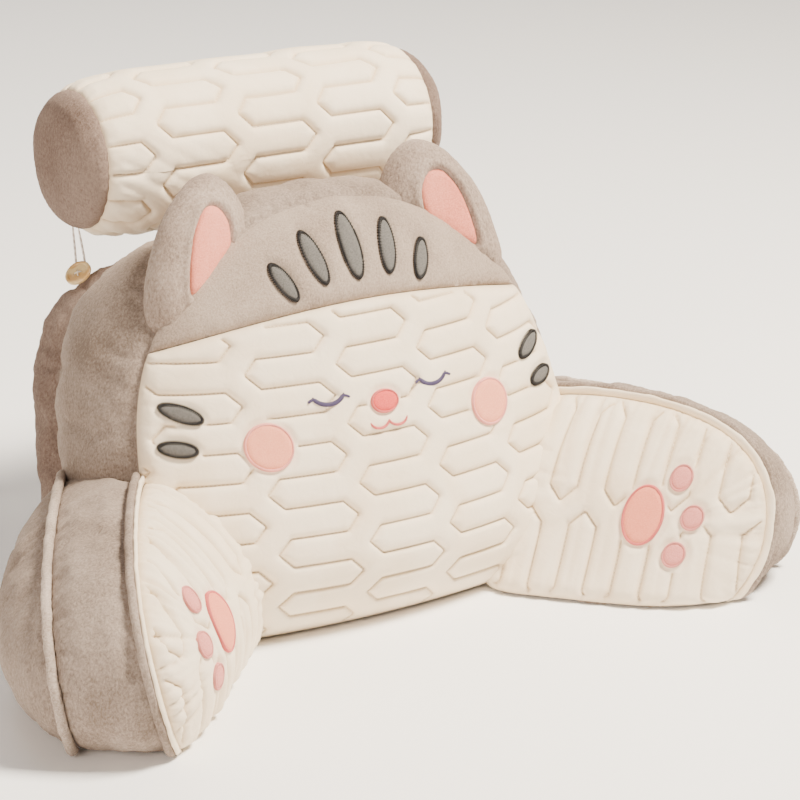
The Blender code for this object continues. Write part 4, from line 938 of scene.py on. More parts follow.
def quilted_points(border, lines, margin):
    """Points of a quilted net: an even grid, the stitch lines, and a row on each side of every line."""
    rails = [side_line(line, RAIL_AWAY * way) for line in lines for way in (-1, 1)]
    grid = honeycomb(border, SHEET_PITCH, SHEET_PITCH * NET_INSET, lines, NET_CLEAR)
    return np.vstack([grid] + [part[inside_of(border, part)[0] > margin] for part in lines + rails])


def flat_net(border, spots):
    """A flat triangle net inside a border."""
    points = [Vector(p) for p in border] + [Vector(p) for p in spots]
    verts, _, faces, _, _, _ = delaunay_2d_cdt(points, [], [list(range(len(border)))], 1, 0.00001)
    return np.array([tuple(v) for v in verts]), [tuple(face) for face in faces]


def rim_of(net, border):
    """Index of the net's point at each point of its border."""
    return [int(np.argmin(np.hypot(*(net - p).T))) for p in border]


def shell(name, border, nets, layers, material):
    """A closed piece: two flat nets laid as its upper and lower layers, joined round their border."""
    (top, top_faces), (low, low_faces) = nets
    rim, foot = rim_of(top, border), [len(top) + i for i in rim_of(low, border)]
    faces = list(top_faces) + [tuple(len(top) + i for i in reversed(face)) for face in low_faces]
    for k in range(len(border)):
        n = (k + 1) % len(border)
        faces.append((rim[n], rim[k], foot[k], foot[n]))
    return new_piece(name, np.vstack(layers), faces, material)


def laid_sheet(name, border, spots, height_of, place, material):
    """A closed sheet: a fine net above and a coarse one below, with painted shade where height_of says."""
    top, faces = flat_net(border, spots)
    low, low_faces = flat_net(border, honeycomb(border, UNDER_PITCH, UNDER_PITCH * NET_INSET))
    heights, painted_shade = height_of(top)
    piece = shell(name, border, ((top, faces), (low, low_faces)),
                  (place(top, heights), place(low, np.full(len(low), UNDER_LIFT))), material)
    set_attribute(piece, "painted_shade", np.concatenate([painted_shade, np.zeros(len(low))]))
    return piece


def quilted_sheet(name, border, place, columns, patches, upright, shift, drag):
    """Quilting on a curved face. drag is how far its seam draws up puckers, by run along the border."""
    border = even_line(border, SHEET_PITCH, closed=True)
    beds = [ellipse(patch, BED_GROW) for patch in patches]
    levels = border[:, 0 if upright else 1]

    def allowed(spots):
        ok = inside_of(border, spots)[0] > STITCH_CLEAR
        for bed in beds:
            ok &= inside_of(bed, spots)[0] < -0.001
        return ok

    lines = []
    for column in columns:
        line = serpentine(column, levels.min(), levels.max(), shift)
        lines += clipped([(y, x) for x, y in line] if upright else line, allowed)

    def height_of(points):
        to_stitch, run = nearest_of(lines, points)
        to_edge, edge_run = inside_of(border, points)
        to_edge = np.maximum(to_edge, 0.0)
        rise = pad_rise(to_stitch)
        uneven = 1 + 0.10 * rumple(np.c_[points, 0 * run], 0.03, 1.0)
        heights = QUILT_BASE + QUILT_PUFF * rise * uneven
        close = fading(to_stitch, CREASE_REACH)
        for high, length, seed in SHEET_CREASES:
            heights += high * close * rise * wave(run, length, seed)
        for bed in beds:
            level = np.clip(1 + inside_of(bed, points)[0] / BED_SLOPE, 0, 1)
            heights += (BED_LIFT - BED_SINK - heights) * level
        heights = SEAM_LIFT + (heights - SEAM_LIFT) * np.sqrt(eased(to_edge, SEAM_ROUND))
        pulled = drag(points, to_edge, edge_run)
        heights = np.maximum(heights + pulled, LEAST_LIFT)
        # painted shade: darker in the stitch channels, next to the seam and in the valleys of the folds
        painted_shade = 0.9 * np.exp(-(to_stitch / SHADE_HALF_WIDTH) ** 2) + 0.45 * fading(to_edge, 0.004)
        painted_shade += np.clip(-pulled / 0.006, 0, 0.45)
        return heights, np.minimum(1.0, painted_shade)

    sheet = laid_sheet(name, border, quilted_points(border, lines, 0.001), height_of, place, FINISH["cream"])
    seams = sew(f"{name}_stitches", running_stitches(lines, place, QUILT_BASE + 0.0003), FINISH["ecru"])
    return sheet, seams


# -------------------------------------------------- front of the cushion
def crown_edge(across):
    return CROWN_EDGE - CROWN_FALL * across ** 2


def split_front():
    """Borders of the crown panel and of the face panel under it."""
    trimmed = FRONT_ARCH * FRONT_TRIM
    above = [tuple(p) for p in trimmed if p[1] > crown_edge(p[0]) + 0.003]
    right = [tuple(p) for p in trimmed if p[1] < crown_edge(p[0]) - 0.003 and p[0] > 0]
    left = [tuple(p) for p in trimmed if p[1] < crown_edge(p[0]) - 0.003 and p[0] < 0]
    reach_x = 0.5 * (above[0][0] + right[-1][0])
    across = np.linspace(-reach_x, reach_x, 41)
    crown = above + [(x, crown_edge(x) + CROWN_GAP) for x in across]
    right = [(right[0][0], SHEET_FOOT)] + right[1:]
    left = left[:-1] + [(left[-1][0], SHEET_FOOT)]
    face = right + [(x, crown_edge(x) - CROWN_GAP) for x in across[::-1]] + left
    return np.array(crown), np.array(face)


def make_front():
    """The quilted face panel and the plain plush crown panel above it."""
    crown_border, face_border = split_front()

    def face_drag(points, to_edge, run):
        beside = np.clip((np.abs(points[:, 0]) - 0.16) / 0.06, 0, 1)
        floor = fading(points[:, 1], 0.018) * folds(points[:, 0], 0.031, 5.0) * eased(to_edge, 0.006)
        sides = SIDE_FOLD * beside * fading(to_edge, 0.016) * folds(run, 0.021, 3.0) * eased(to_edge, 0.004)
        return sides + FLOOR_FOLD * floor

    sheet, seams = quilted_sheet("face_quilting", face_border, front_face, range(-3, 4),
                                 FACE_PATCHES + SIDE_PATCHES, False, 0.0, face_drag)
    keep(sheet, ["face_panel"])
    keep(seams)

    border = even_line(crown_border, 0.004, closed=True)
    beds = [ellipse(patch, 0.0025) for patch in CROWN_PATCHES]

    def crown_height(points):
        to_edge, run = inside_of(border, points)
        to_edge = np.maximum(to_edge, 0.0)
        heights = 0.0010 + CROWN_PUFF * np.sqrt(eased(to_edge, CROWN_ROUND))
        heights += 0.0007 * fading(to_edge, CROWN_ROUND) * wave(run, 0.026, 1.0)
        heights += 0.0012 * rumple(np.c_[points, 0 * run], 0.055, 4.0) * eased(to_edge, 0.02)
        for bed in beds:
            level = np.clip(1 + inside_of(bed, points)[0] / BED_SLOPE, 0, 1)
            heights += (CROWN_BED - BED_SINK - heights) * level
        # the second value is painted shade next to the seam, which the grey plush finish does not read
        return heights, fading(to_edge, 0.003)

    crown = laid_sheet("crown_plush", border, honeycomb(border, CROWN_PITCH, 0.002), crown_height, front_face,
                       FINISH["grey"])
    keep(crown, ["crown_panel"])


def sewn_patch(patch, place, bed, material, thread, node, satin=True):
    """A soft patch with its edge drawn down under satin stitches, or under a blanket stitch with its cord."""
    outline = ellipse(patch, 0.0, 56)
    net = flat_net(outline, honeycomb(outline, PATCH_PITCH, 0.0014))
    spots = net[0]
    away = np.maximum(inside_of(outline, spots)[0], 0.0)
    heights = bed + 0.0007 + PATCH_PUFF * np.sqrt(eased(away, 0.005))
    heights += 0.0003 * rumple(np.c_[spots, 0 * away], 0.012, 6.0)
    layers = (place(spots, heights), place(spots, np.full(len(spots), bed - 0.0004)))
    piece = shell(f"sewn_{node}", outline, (net, net), layers, material)
    if satin:
        inner, outer = SATIN_SMALL if min(patch[3:5]) < SMALL_PATCH else SATIN_WIDE
        stitches = edge_stitches(outline, place, bed + 0.0017, inner, outer, SATIN_PITCH)
        threads = [sew("edge", stitches, thread, 0.00033)]
    else:
        inner, outer = BLANKET_WIDE
        stitches = edge_stitches(outline, place, bed + 0.0020, inner, outer, BLANKET_PITCH,
                                 slant=0.0004, rise=0.0008)
        rim = ellipse(patch, -0.0001, 60)
        cord = place(rim, np.full(len(rim), bed + 0.0012))
        threads = [sew("edge", stitches, thread, 0.00046),
                   sew("edge_line", [np.vstack([cord, cord[:1]])], thread, 0.00048)]
    join_into(piece, threads)
    keep(piece, [node])


def make_patches():
    """Nose and cheeks, stripes on the crown and the sides, and a pad with three toes on each arm."""
    for patch in FACE_PATCHES:
        nose = patch[0] == "nose"
        sewn_patch(patch, front_face, BED_LIFT, FINISH["nose" if nose else "cheek"],
                   FINISH["coral" if nose else "blush"], patch[0])
    for patches, bed in ((SIDE_PATCHES, BED_LIFT), (CROWN_PATCHES, CROWN_BED)):
        for patch in patches:
            sewn_patch(patch, front_face, bed, FINISH["patch_grey"], FINISH["black"], patch[0],
                       satin=False)
    for side, word in SIDES:
        place = arm_face(side)
        for patch in PAW_PATCHES:
            pad = patch[0] == "paw_pad"
            kind = "patch_pink" if pad else "patch_rose"
            sewn_patch(patch, place, BED_LIFT, FINISH[kind], FINISH["coral" if pad else "rose"],
                       f"{patch[0]}_{word}")


def satin_band(line, lift, width):
    """Close stitches to and fro across a line on the front face, tapering at its two ends."""
    spots = even_line(line, BAND_PITCH)
    along = np.gradient(spots, axis=0)
    side = np.stack([along[:, 1], -along[:, 0]], axis=1)
    side /= np.linalg.norm(side, axis=1)[:, None]
    share = np.linspace(0, 1, len(spots))
    half = width / 2 * np.minimum(1.0, np.sin(math.pi * share) * 3 + 0.15)
    rows = []
    for way, height in ((-1.0, -0.0008), (-0.5, 0.0005), (0.5, 0.0005), (1.0, -0.0008)):
        across = side * (half * way)[:, None]
        rows.append(front_face(spots + across, np.full(len(spots), lift + height)))
    return [np.array([row[i] for row in rows]) for i in range(len(spots))]


def arc(middle, half, angle):
    """Points of an ellipse at the given angles, in degrees."""
    turn = np.radians(angle)
    return np.stack([middle[0] + half[0] * np.cos(turn), middle[1] + half[1] * np.sin(turn)], axis=-1)


def make_embroidery():
    """Two closed eyes with a lash at each corner, and a small mouth, in satin stitch."""
    lift = QUILT_BASE + QUILT_PUFF + 0.0004
    eyes, mouth = [], []
    for side, _ in SIDES:
        middle = (side * EYE_AT[0], EYE_AT[1])
        eyes += satin_band(arc(middle, EYE_HALF, np.linspace(200, 340, 25)), lift, EYE_THICK)
        for corner in LASH_TURNS:
            root = arc(middle, EYE_HALF, corner)
            tip = root + np.array([LASH_LONG * math.cos(math.radians(corner)), -0.0025])
            eyes += satin_band([root, (root + tip) / 2 + (0, 0.0004), tip], lift, LINE_THICK)
    keep(sew("closed_eyes", eyes, FINISH["plum"], 0.00036))
    for side, _ in SIDES:
        smile = arc((side * MOUTH_AT[0], MOUTH_AT[1]), MOUTH_HALF, np.linspace(190, 350, 21))
        mouth += satin_band(smile, lift - 0.0002, LINE_THICK)
    keep(sew("small_mouth", mouth, FINISH["coral"]))


# -------------------------------------------------- neck roll
def roll_radius(along):
    """Radius of the roll on a stitch line: a barrel that rounds over to its end seams."""
    taper = np.clip(1 - (ROLL_LONG / 2 - np.abs(along)) / ROLL_ROUND, 0, 1)
    return ROLL_RADIUS - (ROLL_RADIUS - ROLL_END) * taper ** 2


def nearest_points(known, wanted):
    """Index of the known point at each wanted one."""
    tree = KDTree(len(known))
    for i, p in enumerate(known):
        tree.insert(Vector(p), i)
    tree.balance()
    return np.array([tree.find(Vector(p))[1] for p in wanted])


def make_roll():
    """The quilted cover of the roll, drawn in and puckered at both ends."""
    half = ROLL_LONG / 2
    around = ROLL_RUNS * QUILT_RUN
    corners = [(-half, 0.0), (half, 0.0), (half, around), (-half, around)]
    border = even_line(corners, QUILT_RUN / 10, closed=True)

    def allowed(spots):
        on_sheet = (spots[:, 1] > -0.0001) & (spots[:, 1] < around + 0.0001)
        return (np.abs(spots[:, 0]) < half - 0.004) & on_sheet

    lines = []
    for column in range(-3, 4):
        lines += clipped(serpentine(column, 0.0, around), allowed)
    flat, faces = flat_net(border, quilted_points(border, lines, 0.0008))
    looped = lines + [line + (0, way * around) for line in lines for way in (-1, 1)]
    to_stitch, run = nearest_of(looped, flat)
    rise = pad_rise(to_stitch)
    left = np.maximum(0.0, half - np.abs(flat[:, 0]))
    end = eased(left, 0.012)
    turn = 2 * math.pi * flat[:, 1] / around
    radius = roll_radius(flat[:, 0]) + QUILT_PUFF * rise * np.sqrt(end)

    ring = np.stack([flat[:, 0] * 18, np.cos(turn) * 1.3, np.sin(turn) * 1.3], axis=1)
    radius += 0.0014 * rumple(ring, 1.0, 2.0) * end              # broad lumps of the filling
    close = fading(to_stitch, CREASE_REACH)
    radius += (0.00030 * wave(run, 0.0052, 1.0) + 0.00050 * wave(run, 0.013, 3.0)) * close * rise
    turned = turn * 17 + 0.9 * np.sin(turn * 3) + 0.5 * np.sin(turn * 5 + 1)
    radius += ROLL_PUCKER * humps(turned, 0.7, 0.55) * fading(left, 0.013) * eased(left, 0.003)
    low_left = np.clip(-flat[:, 0] / half, 0, 1) * np.clip(-np.sin(turn - 0.4) + 0.35, 0, 1)
    slanting = (flat[:, 0] * 0.55 + flat[:, 1] * 0.9) * math.pi / 0.017 + 0.8 * np.sin(turn * 4)
    radius += ROLL_DRAG * low_left * humps(slanting, 0.8, 0.6) * end

    verts = roll_face(np.stack([flat[:, 0], turn], axis=1), radius)
    for side, _ in SIDES:
        rim = [i for i, p in enumerate(flat) if abs(p[0] - side * half) < 1e-5 and p[1] < around - 1e-5]
        faces.append(tuple(sorted(rim, key=lambda i: flat[i][1])))
    piece = new_piece("roll_quilting", verts, faces, FINISH["cream"])
    turn_out(piece.data, 0.00005)
    # painted shade: darker along the stitches and at both ends, where the cover meets the discs
    painted_shade = np.exp(-(to_stitch / SHADE_HALF_WIDTH) ** 2) * 0.9 + 0.5 * fading(left, 0.0035)
    set_attribute(piece, "painted_shade", painted_shade[nearest_points(verts, points_of(piece))])
    keep(piece, ["neck_roll"])

    def place(points, lift):
        turned_spots = np.stack([points[:, 0], 2 * math.pi * points[:, 1] / around], axis=1)
        return roll_face(turned_spots, roll_radius(points[:, 0]) + lift)

    keep(sew("roll_stitches", running_stitches(lines, place, 0.0004), FINISH["ecru"]))


def make_roll_ends():
    """Domed plush discs that begin inside the cover's edge, with soft folds round their seam."""
    profile = smooth_line([(-rise, radius) for radius, rise in DISC_ROWS], 7)
    rows, count = len(profile) - 1, DISC_COUNT
    turn = np.linspace(0, 2 * math.pi, count, endpoint=False)
    turns = [(k, (k + 1) % count) for k in range(count)]
    faces = [(i * count + k, i * count + n, (i + 1) * count + n, (i + 1) * count + k)
             for i in range(rows - 1) for k, n in turns]
    faces += [((rows - 1) * count + k, (rows - 1) * count + n, rows * count) for k, n in turns]
    faces.append(tuple(range(count)))
    for side, word in SIDES:
        pleats = 0.0013 * humps(turn * 15 + side + 0.8 * np.sin(turn * 4), 0.7, 0.6)
        verts = []
        for step, (fall, share) in enumerate(profile[:-1]):
            radius = ROLL_END * share + pleats * math.exp(-step / 9) - (0.0016 if step == 0 else 0.0)
            along = side * (ROLL_LONG / 2 + 0.0004 - fall * DISC_DOME) + 0 * turn
            verts.append(roll_face(np.stack([along, turn], axis=1), radius))
        tip = np.array([[side * (ROLL_LONG / 2 - profile[-1][0] * DISC_DOME), 0.0]])
        verts.append(roll_face(tip, np.array([0.0])))
        disc = new_piece(f"roll_disc_{word}", np.vstack(verts), faces, FINISH["taupe"])
        keep(ruffled(disc, 17.0 + side, 0.0005, 0.0030, 0.0012), [f"roll_end_{word}"])


# -------------------------------------------------- filled bodies
def remeshed(piece, voxel, rounds):
    """A fine even skin over a body, smoothed a little."""
    grid = piece.modifiers.new("even_skin", "REMESH")
    grid.mode = "VOXEL"
    grid.voxel_size = voxel
    calm = piece.modifiers.new("calm", "SMOOTH")
    calm.factor = 0.5
    calm.iterations = rounds
    return settle(piece)


def blow_up(bodies):
    """Runs cloth under pressure on several bodies at once: (piece, held weights, farthest move)."""
    starts = []
    for piece, held, _ in bodies:
        starts.append(points_of(piece))
        group = piece.vertex_groups.new(name="held")
        for index, weight in enumerate(held):
            if weight > 0:
                group.add([index], float(weight), "REPLACE")
        cloth = piece.modifiers.new("plush", "CLOTH")
        for name, value in CLOTH.items():
            setattr(cloth.settings, name, value)
        cloth.settings.effector_weights.gravity = 0.0
        cloth.collision_settings.use_collision = False
        cloth.point_cache.frame_start = 1
        cloth.point_cache.frame_end = CLOTH_FRAMES
    for number in range(1, CLOTH_FRAMES + 1):
        bpy.context.scene.frame_set(number)
    for (piece, held, farthest), start in zip(bodies, starts):
        settle(piece)
        move = points_of(piece) - start
        length = np.linalg.norm(move, axis=1)
        scale = np.where(length > farthest, farthest / np.maximum(length, 1e-9), 1.0)
        free = 1 - np.clip(held, 0, 1)
        set_points(piece, start + move * (scale * free)[:, None])
        piece.vertex_groups.clear()
    bpy.context.scene.frame_set(1)


def subdivided(piece):
    finer = piece.modifiers.new("finer", "SUBSURF")
    finer.levels = finer.render_levels = 1
    return settle(piece)


def ruffled(piece, seed, depth=0.0005, size=0.0042, broad=0.0015):
    """Moves a plush skin in and out a little, by tufts and by broad soft hollows."""
    points = points_of(piece)
    shift = depth * rumple(points, size, seed) + broad * rumple(points, 0.045, seed + 3)
    shift += 0.6 * broad * rumple(points * (1.0, 1.0, 0.4), 0.022, seed + 5)
    set_points(piece, points + normals_of(piece) * shift[:, None])
    piece.data.shade_smooth()
    return piece


def carve_seam(piece, line, depth, width, pucker):
    """Draws a skin in along a seam, with small puckers beside it."""
    points = points_of(piece)
    away, run = nearest_on(line, points)
    pull = depth * np.exp(-(away / width) ** 2)
    pull -= pucker * fading(away, 3.5 * width) * wave(run, 0.016, 2.0)
    set_points(piece, points - normals_of(piece) * pull[:, None])


def held_at(held, seams, points, reach_out):
    """Raises the held weights near the seams: each seam with its own firmness."""
    for seam, firm in seams:
        held = np.maximum(held, np.clip(firm - nearest_on(seam, points)[0] / reach_out, 0, 1))
    return held


def held_cushion(points, front_line, back_line):
    """The cushion is held under the panels, on the floor and along both seams."""
    flat = points[:, [0, 2]]
    share = np.hypot(flat[:, 0], flat[:, 1]) / reach(FRONT_ARCH, flat)
    gap = points[:, 1] - front_face(flat, np.zeros(len(flat)))[:, 1]
    under_panel = (share < 1.0) & (gap < 0.020)
    held = np.where(under_panel | (points[:, 2] < 0.006), 1.0, 0.0)
    return held_at(held, ((front_line, INNER_FIRM), (back_line, OUTER_FIRM)), points, BACK_HOLD)


def held_arm(points, side):
    """An arm is held under its panel, on the floor, along both seams and where it joins the cushion."""
    root, run, out = arm_frame(side)
    inner_line = arm_face(side)(ARM_OUTLINE, np.zeros(len(ARM_OUTLINE)))
    length = (points - root) @ run
    spots = np.stack([length / (1 + ARM_STRETCH[side] * np.clip(length / 0.099, 0, 1)), points[:, 2]], axis=1)
    depth = (points - root) @ out - inner_offset(side, spots)
    inner_share = np.hypot(spots[:, 0], spots[:, 1]) / reach(ARM_OUTLINE, spots)
    held = np.where(((inner_share < 1.0) & (depth < 0.012)) | (points[:, 2] < 0.005), 1.0, 0.0)
    held = held_at(held, ((inner_line, INNER_FIRM), (outer_seam(side), OUTER_FIRM)), points, ARM_HOLD)
    return np.maximum(held, np.where(length < -0.03, 0.75, 0.0))


def make_bodies():
    """The back cushion and both arms: one body of cloth each."""
    cushion = remeshed(node_copy("back_cushion", "back_cover", FINISH["cover"]), *BACK_SKIN)
    front_line = front_face(FRONT_ARCH, np.zeros(len(FRONT_ARCH)))
    back_line = rear_face(BACK_ARCH)
    bodies = [(cushion, held_cushion(points_of(cushion), front_line, back_line), BACK_SWELL)]
    for side, word in SIDES:
        arm = remeshed(node_copy(f"arm_{word}", f"arm_cover_{word}", FINISH["cover"]), *ARM_SKIN)
        bodies.append((arm, held_arm(points_of(arm), side), ARM_SWELL))
    blow_up(bodies)
    subdivided(cushion)
    carve_seam(cushion, back_line, *BACK_CARVE)
    carve_seam(cushion, front_line, *FRONT_CARVE)
    ruffled(cushion, 1.0, broad=0.0018)
    paint_rear(cushion)
    keep(cushion, ["back_cushion"])
    for (arm, _, _), (side, word) in zip(bodies[1:], SIDES):
        subdivided(arm)
        carve_seam(arm, outer_seam(side), *ARM_CARVE)
        ruffled(arm, 7.0 + side, broad=0.0016)
        keep(arm, [f"arm_{word}"])


def paint_rear(cushion):
    """Marks the back panel, inside the rear seam, for its darker plush."""
    points = points_of(cushion)
    flat = points[:, [0, 2]]
    share = np.hypot(flat[:, 0], flat[:, 1]) / reach(BACK_ARCH, flat)
    behind = points[:, 1] - rear_face(flat)[:, 1]
    set_attribute(cushion, "darker", np.clip(behind / 0.004 + 0.5, 0, 1) * (share < 1.25))


# -------------------------------------------------- arms
def make_arm_panels():
    """The quilted inner faces of the arms, with deep folds drawn in by their seams."""
    outline = [tuple(p * 0.99) for p in ARM_OUTLINE if p[0] > -0.082]
    ends = [(outline[i][0], SHEET_FOOT) for i in (0, -1)]
    border = np.array(ends[:1] + [p for p in outline[1:] if p[1] > 0.004] + ends[1:])
    for side, word in SIDES:
        strength = ARM_FOLD[side]

        def drag(points, to_edge, run):
            arch = np.clip(points[:, 1] / 0.04, 0, 1) * np.clip((points[:, 0] + 0.075) / 0.02, 0, 1)
            fine = 0.55 * folds(run, 0.0110, 2.0 + side) * fading(to_edge, 0.022)
            broad = folds(run, 0.0250, 4.0 + side) * fading(to_edge, 0.045)
            floor = folds(points[:, 0], 0.026, 1.0) * fading(points[:, 1], 0.020)
            return (strength * arch * (fine + 0.8 * broad) * eased(to_edge, 0.006)
                    + 0.5 * strength * floor * eased(to_edge, 0.006))

        sheet, seams = quilted_sheet(f"arm_quilting_{word}", border, arm_face(side), range(-1, 3),
                                     PAW_PATCHES, True, 0.040, drag)
        keep(sheet, [f"arm_panel_{word}"])
        keep(seams)


def ridge(name, seam, away, out, shape, material, seed, wander):
    """A soft raised edge of cloth along a seam: a lofted strip with a rounded top.

    shape is its height, its width and how far out of the seam it stands; away is the way up at each point.
    """
    high, wide, offset = shape
    path = even_line(seam, RIDGE_PITCH)
    shares = np.linspace(0, 1, len(path)), np.linspace(0, 1, len(away))
    grow = np.array([np.interp(*shares, away[:, i]) for i in range(3)]).T
    grow /= np.linalg.norm(grow, axis=1)[:, None]
    run = np.concatenate([[0.0], np.cumsum(np.linalg.norm(np.diff(path, axis=0), axis=1))])
    section = [(math.cos(math.pi * k / 8) * 0.5, 0.55 + 0.45 * math.sin(math.pi * k / 8)) for k in range(9)]
    section += [(-0.42, 0.0), (0.42, 0.0)]
    fade = np.clip(np.minimum(run, run[-1] - run) / 0.012, 0.25, 1.0)
    height = high * (1 + 0.08 * wave(run, 0.06, seed)) * fade
    sway = wander * wave(run, 0.043, seed + 2) + 0.5 * wander * wave(run, 0.017, seed + 4)
    verts = []
    for i in range(len(path)):
        for across, up in section:
            beside = offset + across * wide * (0.8 + 0.2 * fade[i]) + sway[i] * up ** 1.5
            verts.append(path[i] + out * beside + grow[i] * (up * height[i] - 0.0015))
    count = len(section)
    faces = [tuple(range(count)), tuple((len(path) - 1) * count + i for i in reversed(range(count)))]
    for i in range(len(path) - 1):
        for k in range(count):
            a, b = i * count + k, i * count + (k + 1) % count
            faces.append((a, b, b + count, a + count))
    return new_piece(name, verts, faces, material)


def make_trims():
    """The raised seam allowances of both arms: cream beside plush inside, thick plush outside."""
    for side, word in SIDES:
        _, run, out = arm_frame(side)
        inner = arm_face(side)(ARM_OUTLINE, np.zeros(len(ARM_OUTLINE)))[TRIMMED]
        flat = outward(ARM_OUTLINE)[TRIMMED]
        away = run * flat[:, :1] + np.array([0, 0, 1.0]) * flat[:, 1:]
        cream = ridge(f"cream_edge_{word}", inner, away, out, CREAM_EDGE, FINISH["cream"], 1.0 + side, 0.0005)
        set_attribute(cream, "painted_shade", np.zeros(len(cream.data.vertices)))
        grey = ridge("grey_backing", inner, away, out, GREY_EDGE, FINISH["cover"], 3.0 + side, 0.0007)
        join_into(cream, [ruffled(subdivided(grey), 2.0, 0.0004, 0.003, 0.0)])
        keep(cream, [f"inner_flange_{word}"])
        fleece = ridge(f"fleece_edge_{word}", outer_seam(side)[TRIMMED], away, out, FLEECE_EDGE,
                       FINISH["fleece"], 5.0 + side, 0.0010)
        keep(ruffled(subdivided(fleece), 4.0, 0.0007, 0.0030, 0.0), [f"outer_flange_{word}"])


# -------------------------------------------------- ears, buttons and loops
def ear_axes(side):
    """Middle of an ear's sewn edge, the edge, the way up to the tip and the way to the front."""
    inner, outer = (np.array(p) * (side, 1, 1) for p in EAR_BASE)
    rise = np.array(EAR_RISE) * (side, 1, 1)
    middle = (inner + outer) / 2 - (0, CENTRE_Y, 0)
    front = np.cross(outer - inner, rise)
    front *= -np.sign(front[1]) / np.linalg.norm(front)
    return middle, outer - inner, rise, front


def ear_thickness(border, spots):
    """Half thickness of a stuffed ear: full in its middle, thin at its edge."""
    to_edge = np.maximum(0.0, inside_of(border, spots)[0])
    return EAR_RIM + EAR_THICK * (1 - (1 - eased(to_edge, EAR_ROUND)) ** 2.2) ** 0.62


def make_ears():
    """Stuffed ears with a thick plush rim round a smaller lining, their roots behind the front seam."""
    outline, lining = (even_line(smooth_line([(a, b + 1) for a, b in line], 6) - (0, 1), 0.024, closed=True)
                       for line in (EAR_OUTLINE, LINING_OUTLINE))
    for side, word in SIDES:
        middle, base, rise, front = ear_axes(side)
        wide, high = np.linalg.norm(base), np.linalg.norm(rise)
        border, inside = outline * (wide, high), lining * (wide, high)

        def lay(points, lift):
            a, b = points[:, :1] / wide, points[:, 1:] / high
            cup = EAR_CUP * a ** 2 - EAR_TILT * b
            return middle + base * a + rise * b + front * (lift[:, None] - cup)

        net = flat_net(border, honeycomb(border, 0.0024, 0.0012))
        spots = net[0]
        thick = ear_thickness(border, spots)
        into, _ = inside_of(inside, spots)
        dip = LINING_SUNK * np.clip(1 + into / 0.0030, 0, 1)
        dip -= RIM_PROUD * np.exp(-((into + 0.0065) / 0.0045) ** 2)
        fold = 0.0011 * humps(spots[:, 0] * 260 + 0.7, 0.8, 0.6)
        fold *= fading(np.abs(spots[:, 1]), 0.016)
        layers = (lay(spots, thick - dip + fold), lay(spots, -thick))
        ear = shell(f"plush_ear_{word}", border, (net, net), layers, FINISH["fur"])
        keep(ruffled(ear, 11.0 + side, 0.0005, 0.0032, 0.0014), [f"ear_{word}"])

        net = flat_net(inside, honeycomb(inside, 0.0020, 0.0010))
        spots = net[0]
        thick = ear_thickness(border, spots)
        into = np.maximum(0.0, inside_of(inside, spots)[0])
        puff = LINING_PUFF * np.sqrt(eased(into, 0.0055)) - LINING_SINK
        layers = (lay(spots, thick + puff), lay(spots, thick - 0.0060))
        soft = shell(f"ear_inside_{word}", inside, (net, net), layers, FINISH["pink"])
        keep(ruffled(soft, 13.0 + side, 0.0003, 0.0030, 0.0005), [f"ear_lining_{word}"])


def crossed_threads(points):
    """Two crossed pairs of thread over the holes of a button that lies as its points do."""
    middle = points.mean(axis=0)
    _, _, axes = np.linalg.svd(points - middle, full_matrices=False)
    normal = axes[2] if axes[2][2] > 0 else -axes[2]
    lift = ((points - middle) @ normal).max() - 0.0008
    across, down = axes[0], np.cross(normal, axes[0])
    lines = []
    for turn in (0.25, 0.75):
        way = across * math.cos(turn * math.pi) + down * math.sin(turn * math.pi)
        for beside in (-0.0004, 0.0004):
            shift = np.cross(normal, way) * beside
            lines.append([middle + way * a + shift + normal * (lift + h) for a, h in BUTTON_THREAD])
    return sew("button_thread", lines, FINISH["ecru"], 0.0004, 6)


def make_buttons():
    """The turned buttons with their thread, and the elastic loops that hold the roll to them."""
    for _, word in SIDES:
        button = node_copy(f"button_{word}", f"turned_button_{word}", FINISH["pine"])
        edge = button.modifiers.new("eased_edges", "BEVEL")
        edge.width = 0.00025
        edge.segments = 2
        edge.limit_method = "ANGLE"
        edge.angle_limit = math.radians(35)
        settle(button)
        button.data.shade_smooth()
        button.data.set_sharp_from_angle(angle=math.radians(50))
        join_into(button, [crossed_threads(points_of(button))])
        keep(button, [f"button_{word}"])
        loop = subdivided(node_copy(f"loop_{word}", f"elastic_loop_{word}", FINISH["elastic"]))
        keep(loop, [f"loop_{word}"])


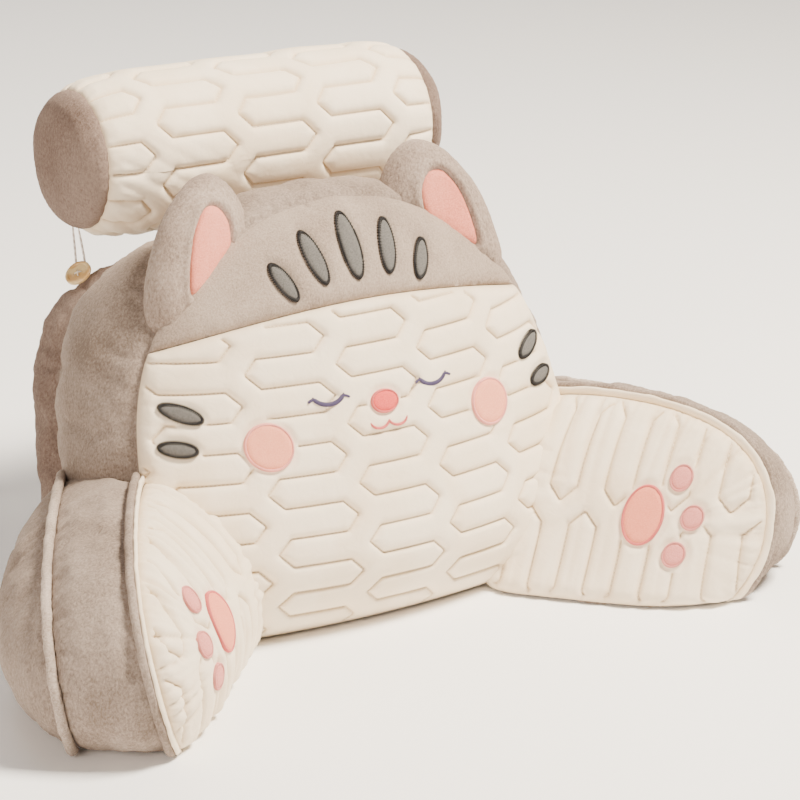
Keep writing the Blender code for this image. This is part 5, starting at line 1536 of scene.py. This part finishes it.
# -------------------------------------------------- floor, lights and camera
def make_stage():
    """A pale floor, a small steep key light, two large soft ones and a faint warm surrounding light."""
    corners = [(x * FLOOR_HALF, y * FLOOR_HALF, FLOOR_LEVEL) for x, y in ((-1, -1), (1, -1), (1, 1), (-1, 1))]
    new_piece("floor", corners, [(0, 1, 2, 3)], pale_paper("pale_paper"), smooth=False)
    for name, spot, size, power, colour in LIGHTS:
        lamp = bpy.data.lights.new(name, "AREA")
        lamp.size = size
        lamp.energy = power
        lamp.color = linear(colour)[:3]
        holder = link(name, lamp)
        holder.location = spot
        holder.rotation_euler = (Vector(LIGHTS_AIM) - Vector(spot)).to_track_quat("-Z", "Y").to_euler()
    world = bpy.data.worlds.new("studio")
    world.use_nodes = True
    background = world.node_tree.nodes["Background"]
    background.inputs["Color"].default_value = linear(WORLD_COLOUR)
    background.inputs["Strength"].default_value = WORLD_STRENGTH
    bpy.context.scene.world = world


def make_camera():
    """The camera on its sphere round the target, rolled a little."""
    camera = bpy.data.cameras.new("camera")
    camera.lens = CAMERA_LENS
    camera.sensor_width = 36.0
    back = Vector((-math.sin(CAMERA_AZIMUTH) * math.cos(CAMERA_ELEVATION),
                   -math.cos(CAMERA_AZIMUTH) * math.cos(CAMERA_ELEVATION), math.sin(CAMERA_ELEVATION)))
    level = Vector((math.cos(CAMERA_AZIMUTH), -math.sin(CAMERA_AZIMUTH), 0.0))
    up = level.cross(-back)
    right = level * math.cos(CAMERA_ROLL) + up * math.sin(CAMERA_ROLL)
    top = up * math.cos(CAMERA_ROLL) - level * math.sin(CAMERA_ROLL)
    turn = Matrix((right, top, back)).transposed()
    holder = link("camera", camera)
    holder.matrix_world = Matrix.Translation(Vector(CAMERA_TARGET) + back * CAMERA_DISTANCE) @ turn.to_4x4()
    bpy.context.scene.camera = holder


# -------------------------------------------------- whole scene
for make in (make_camera, make_stage, make_bodies, make_front, make_patches, make_embroidery, make_arm_panels,
             make_trims, make_roll, make_roll_ends, make_ears, make_buttons):
    make()
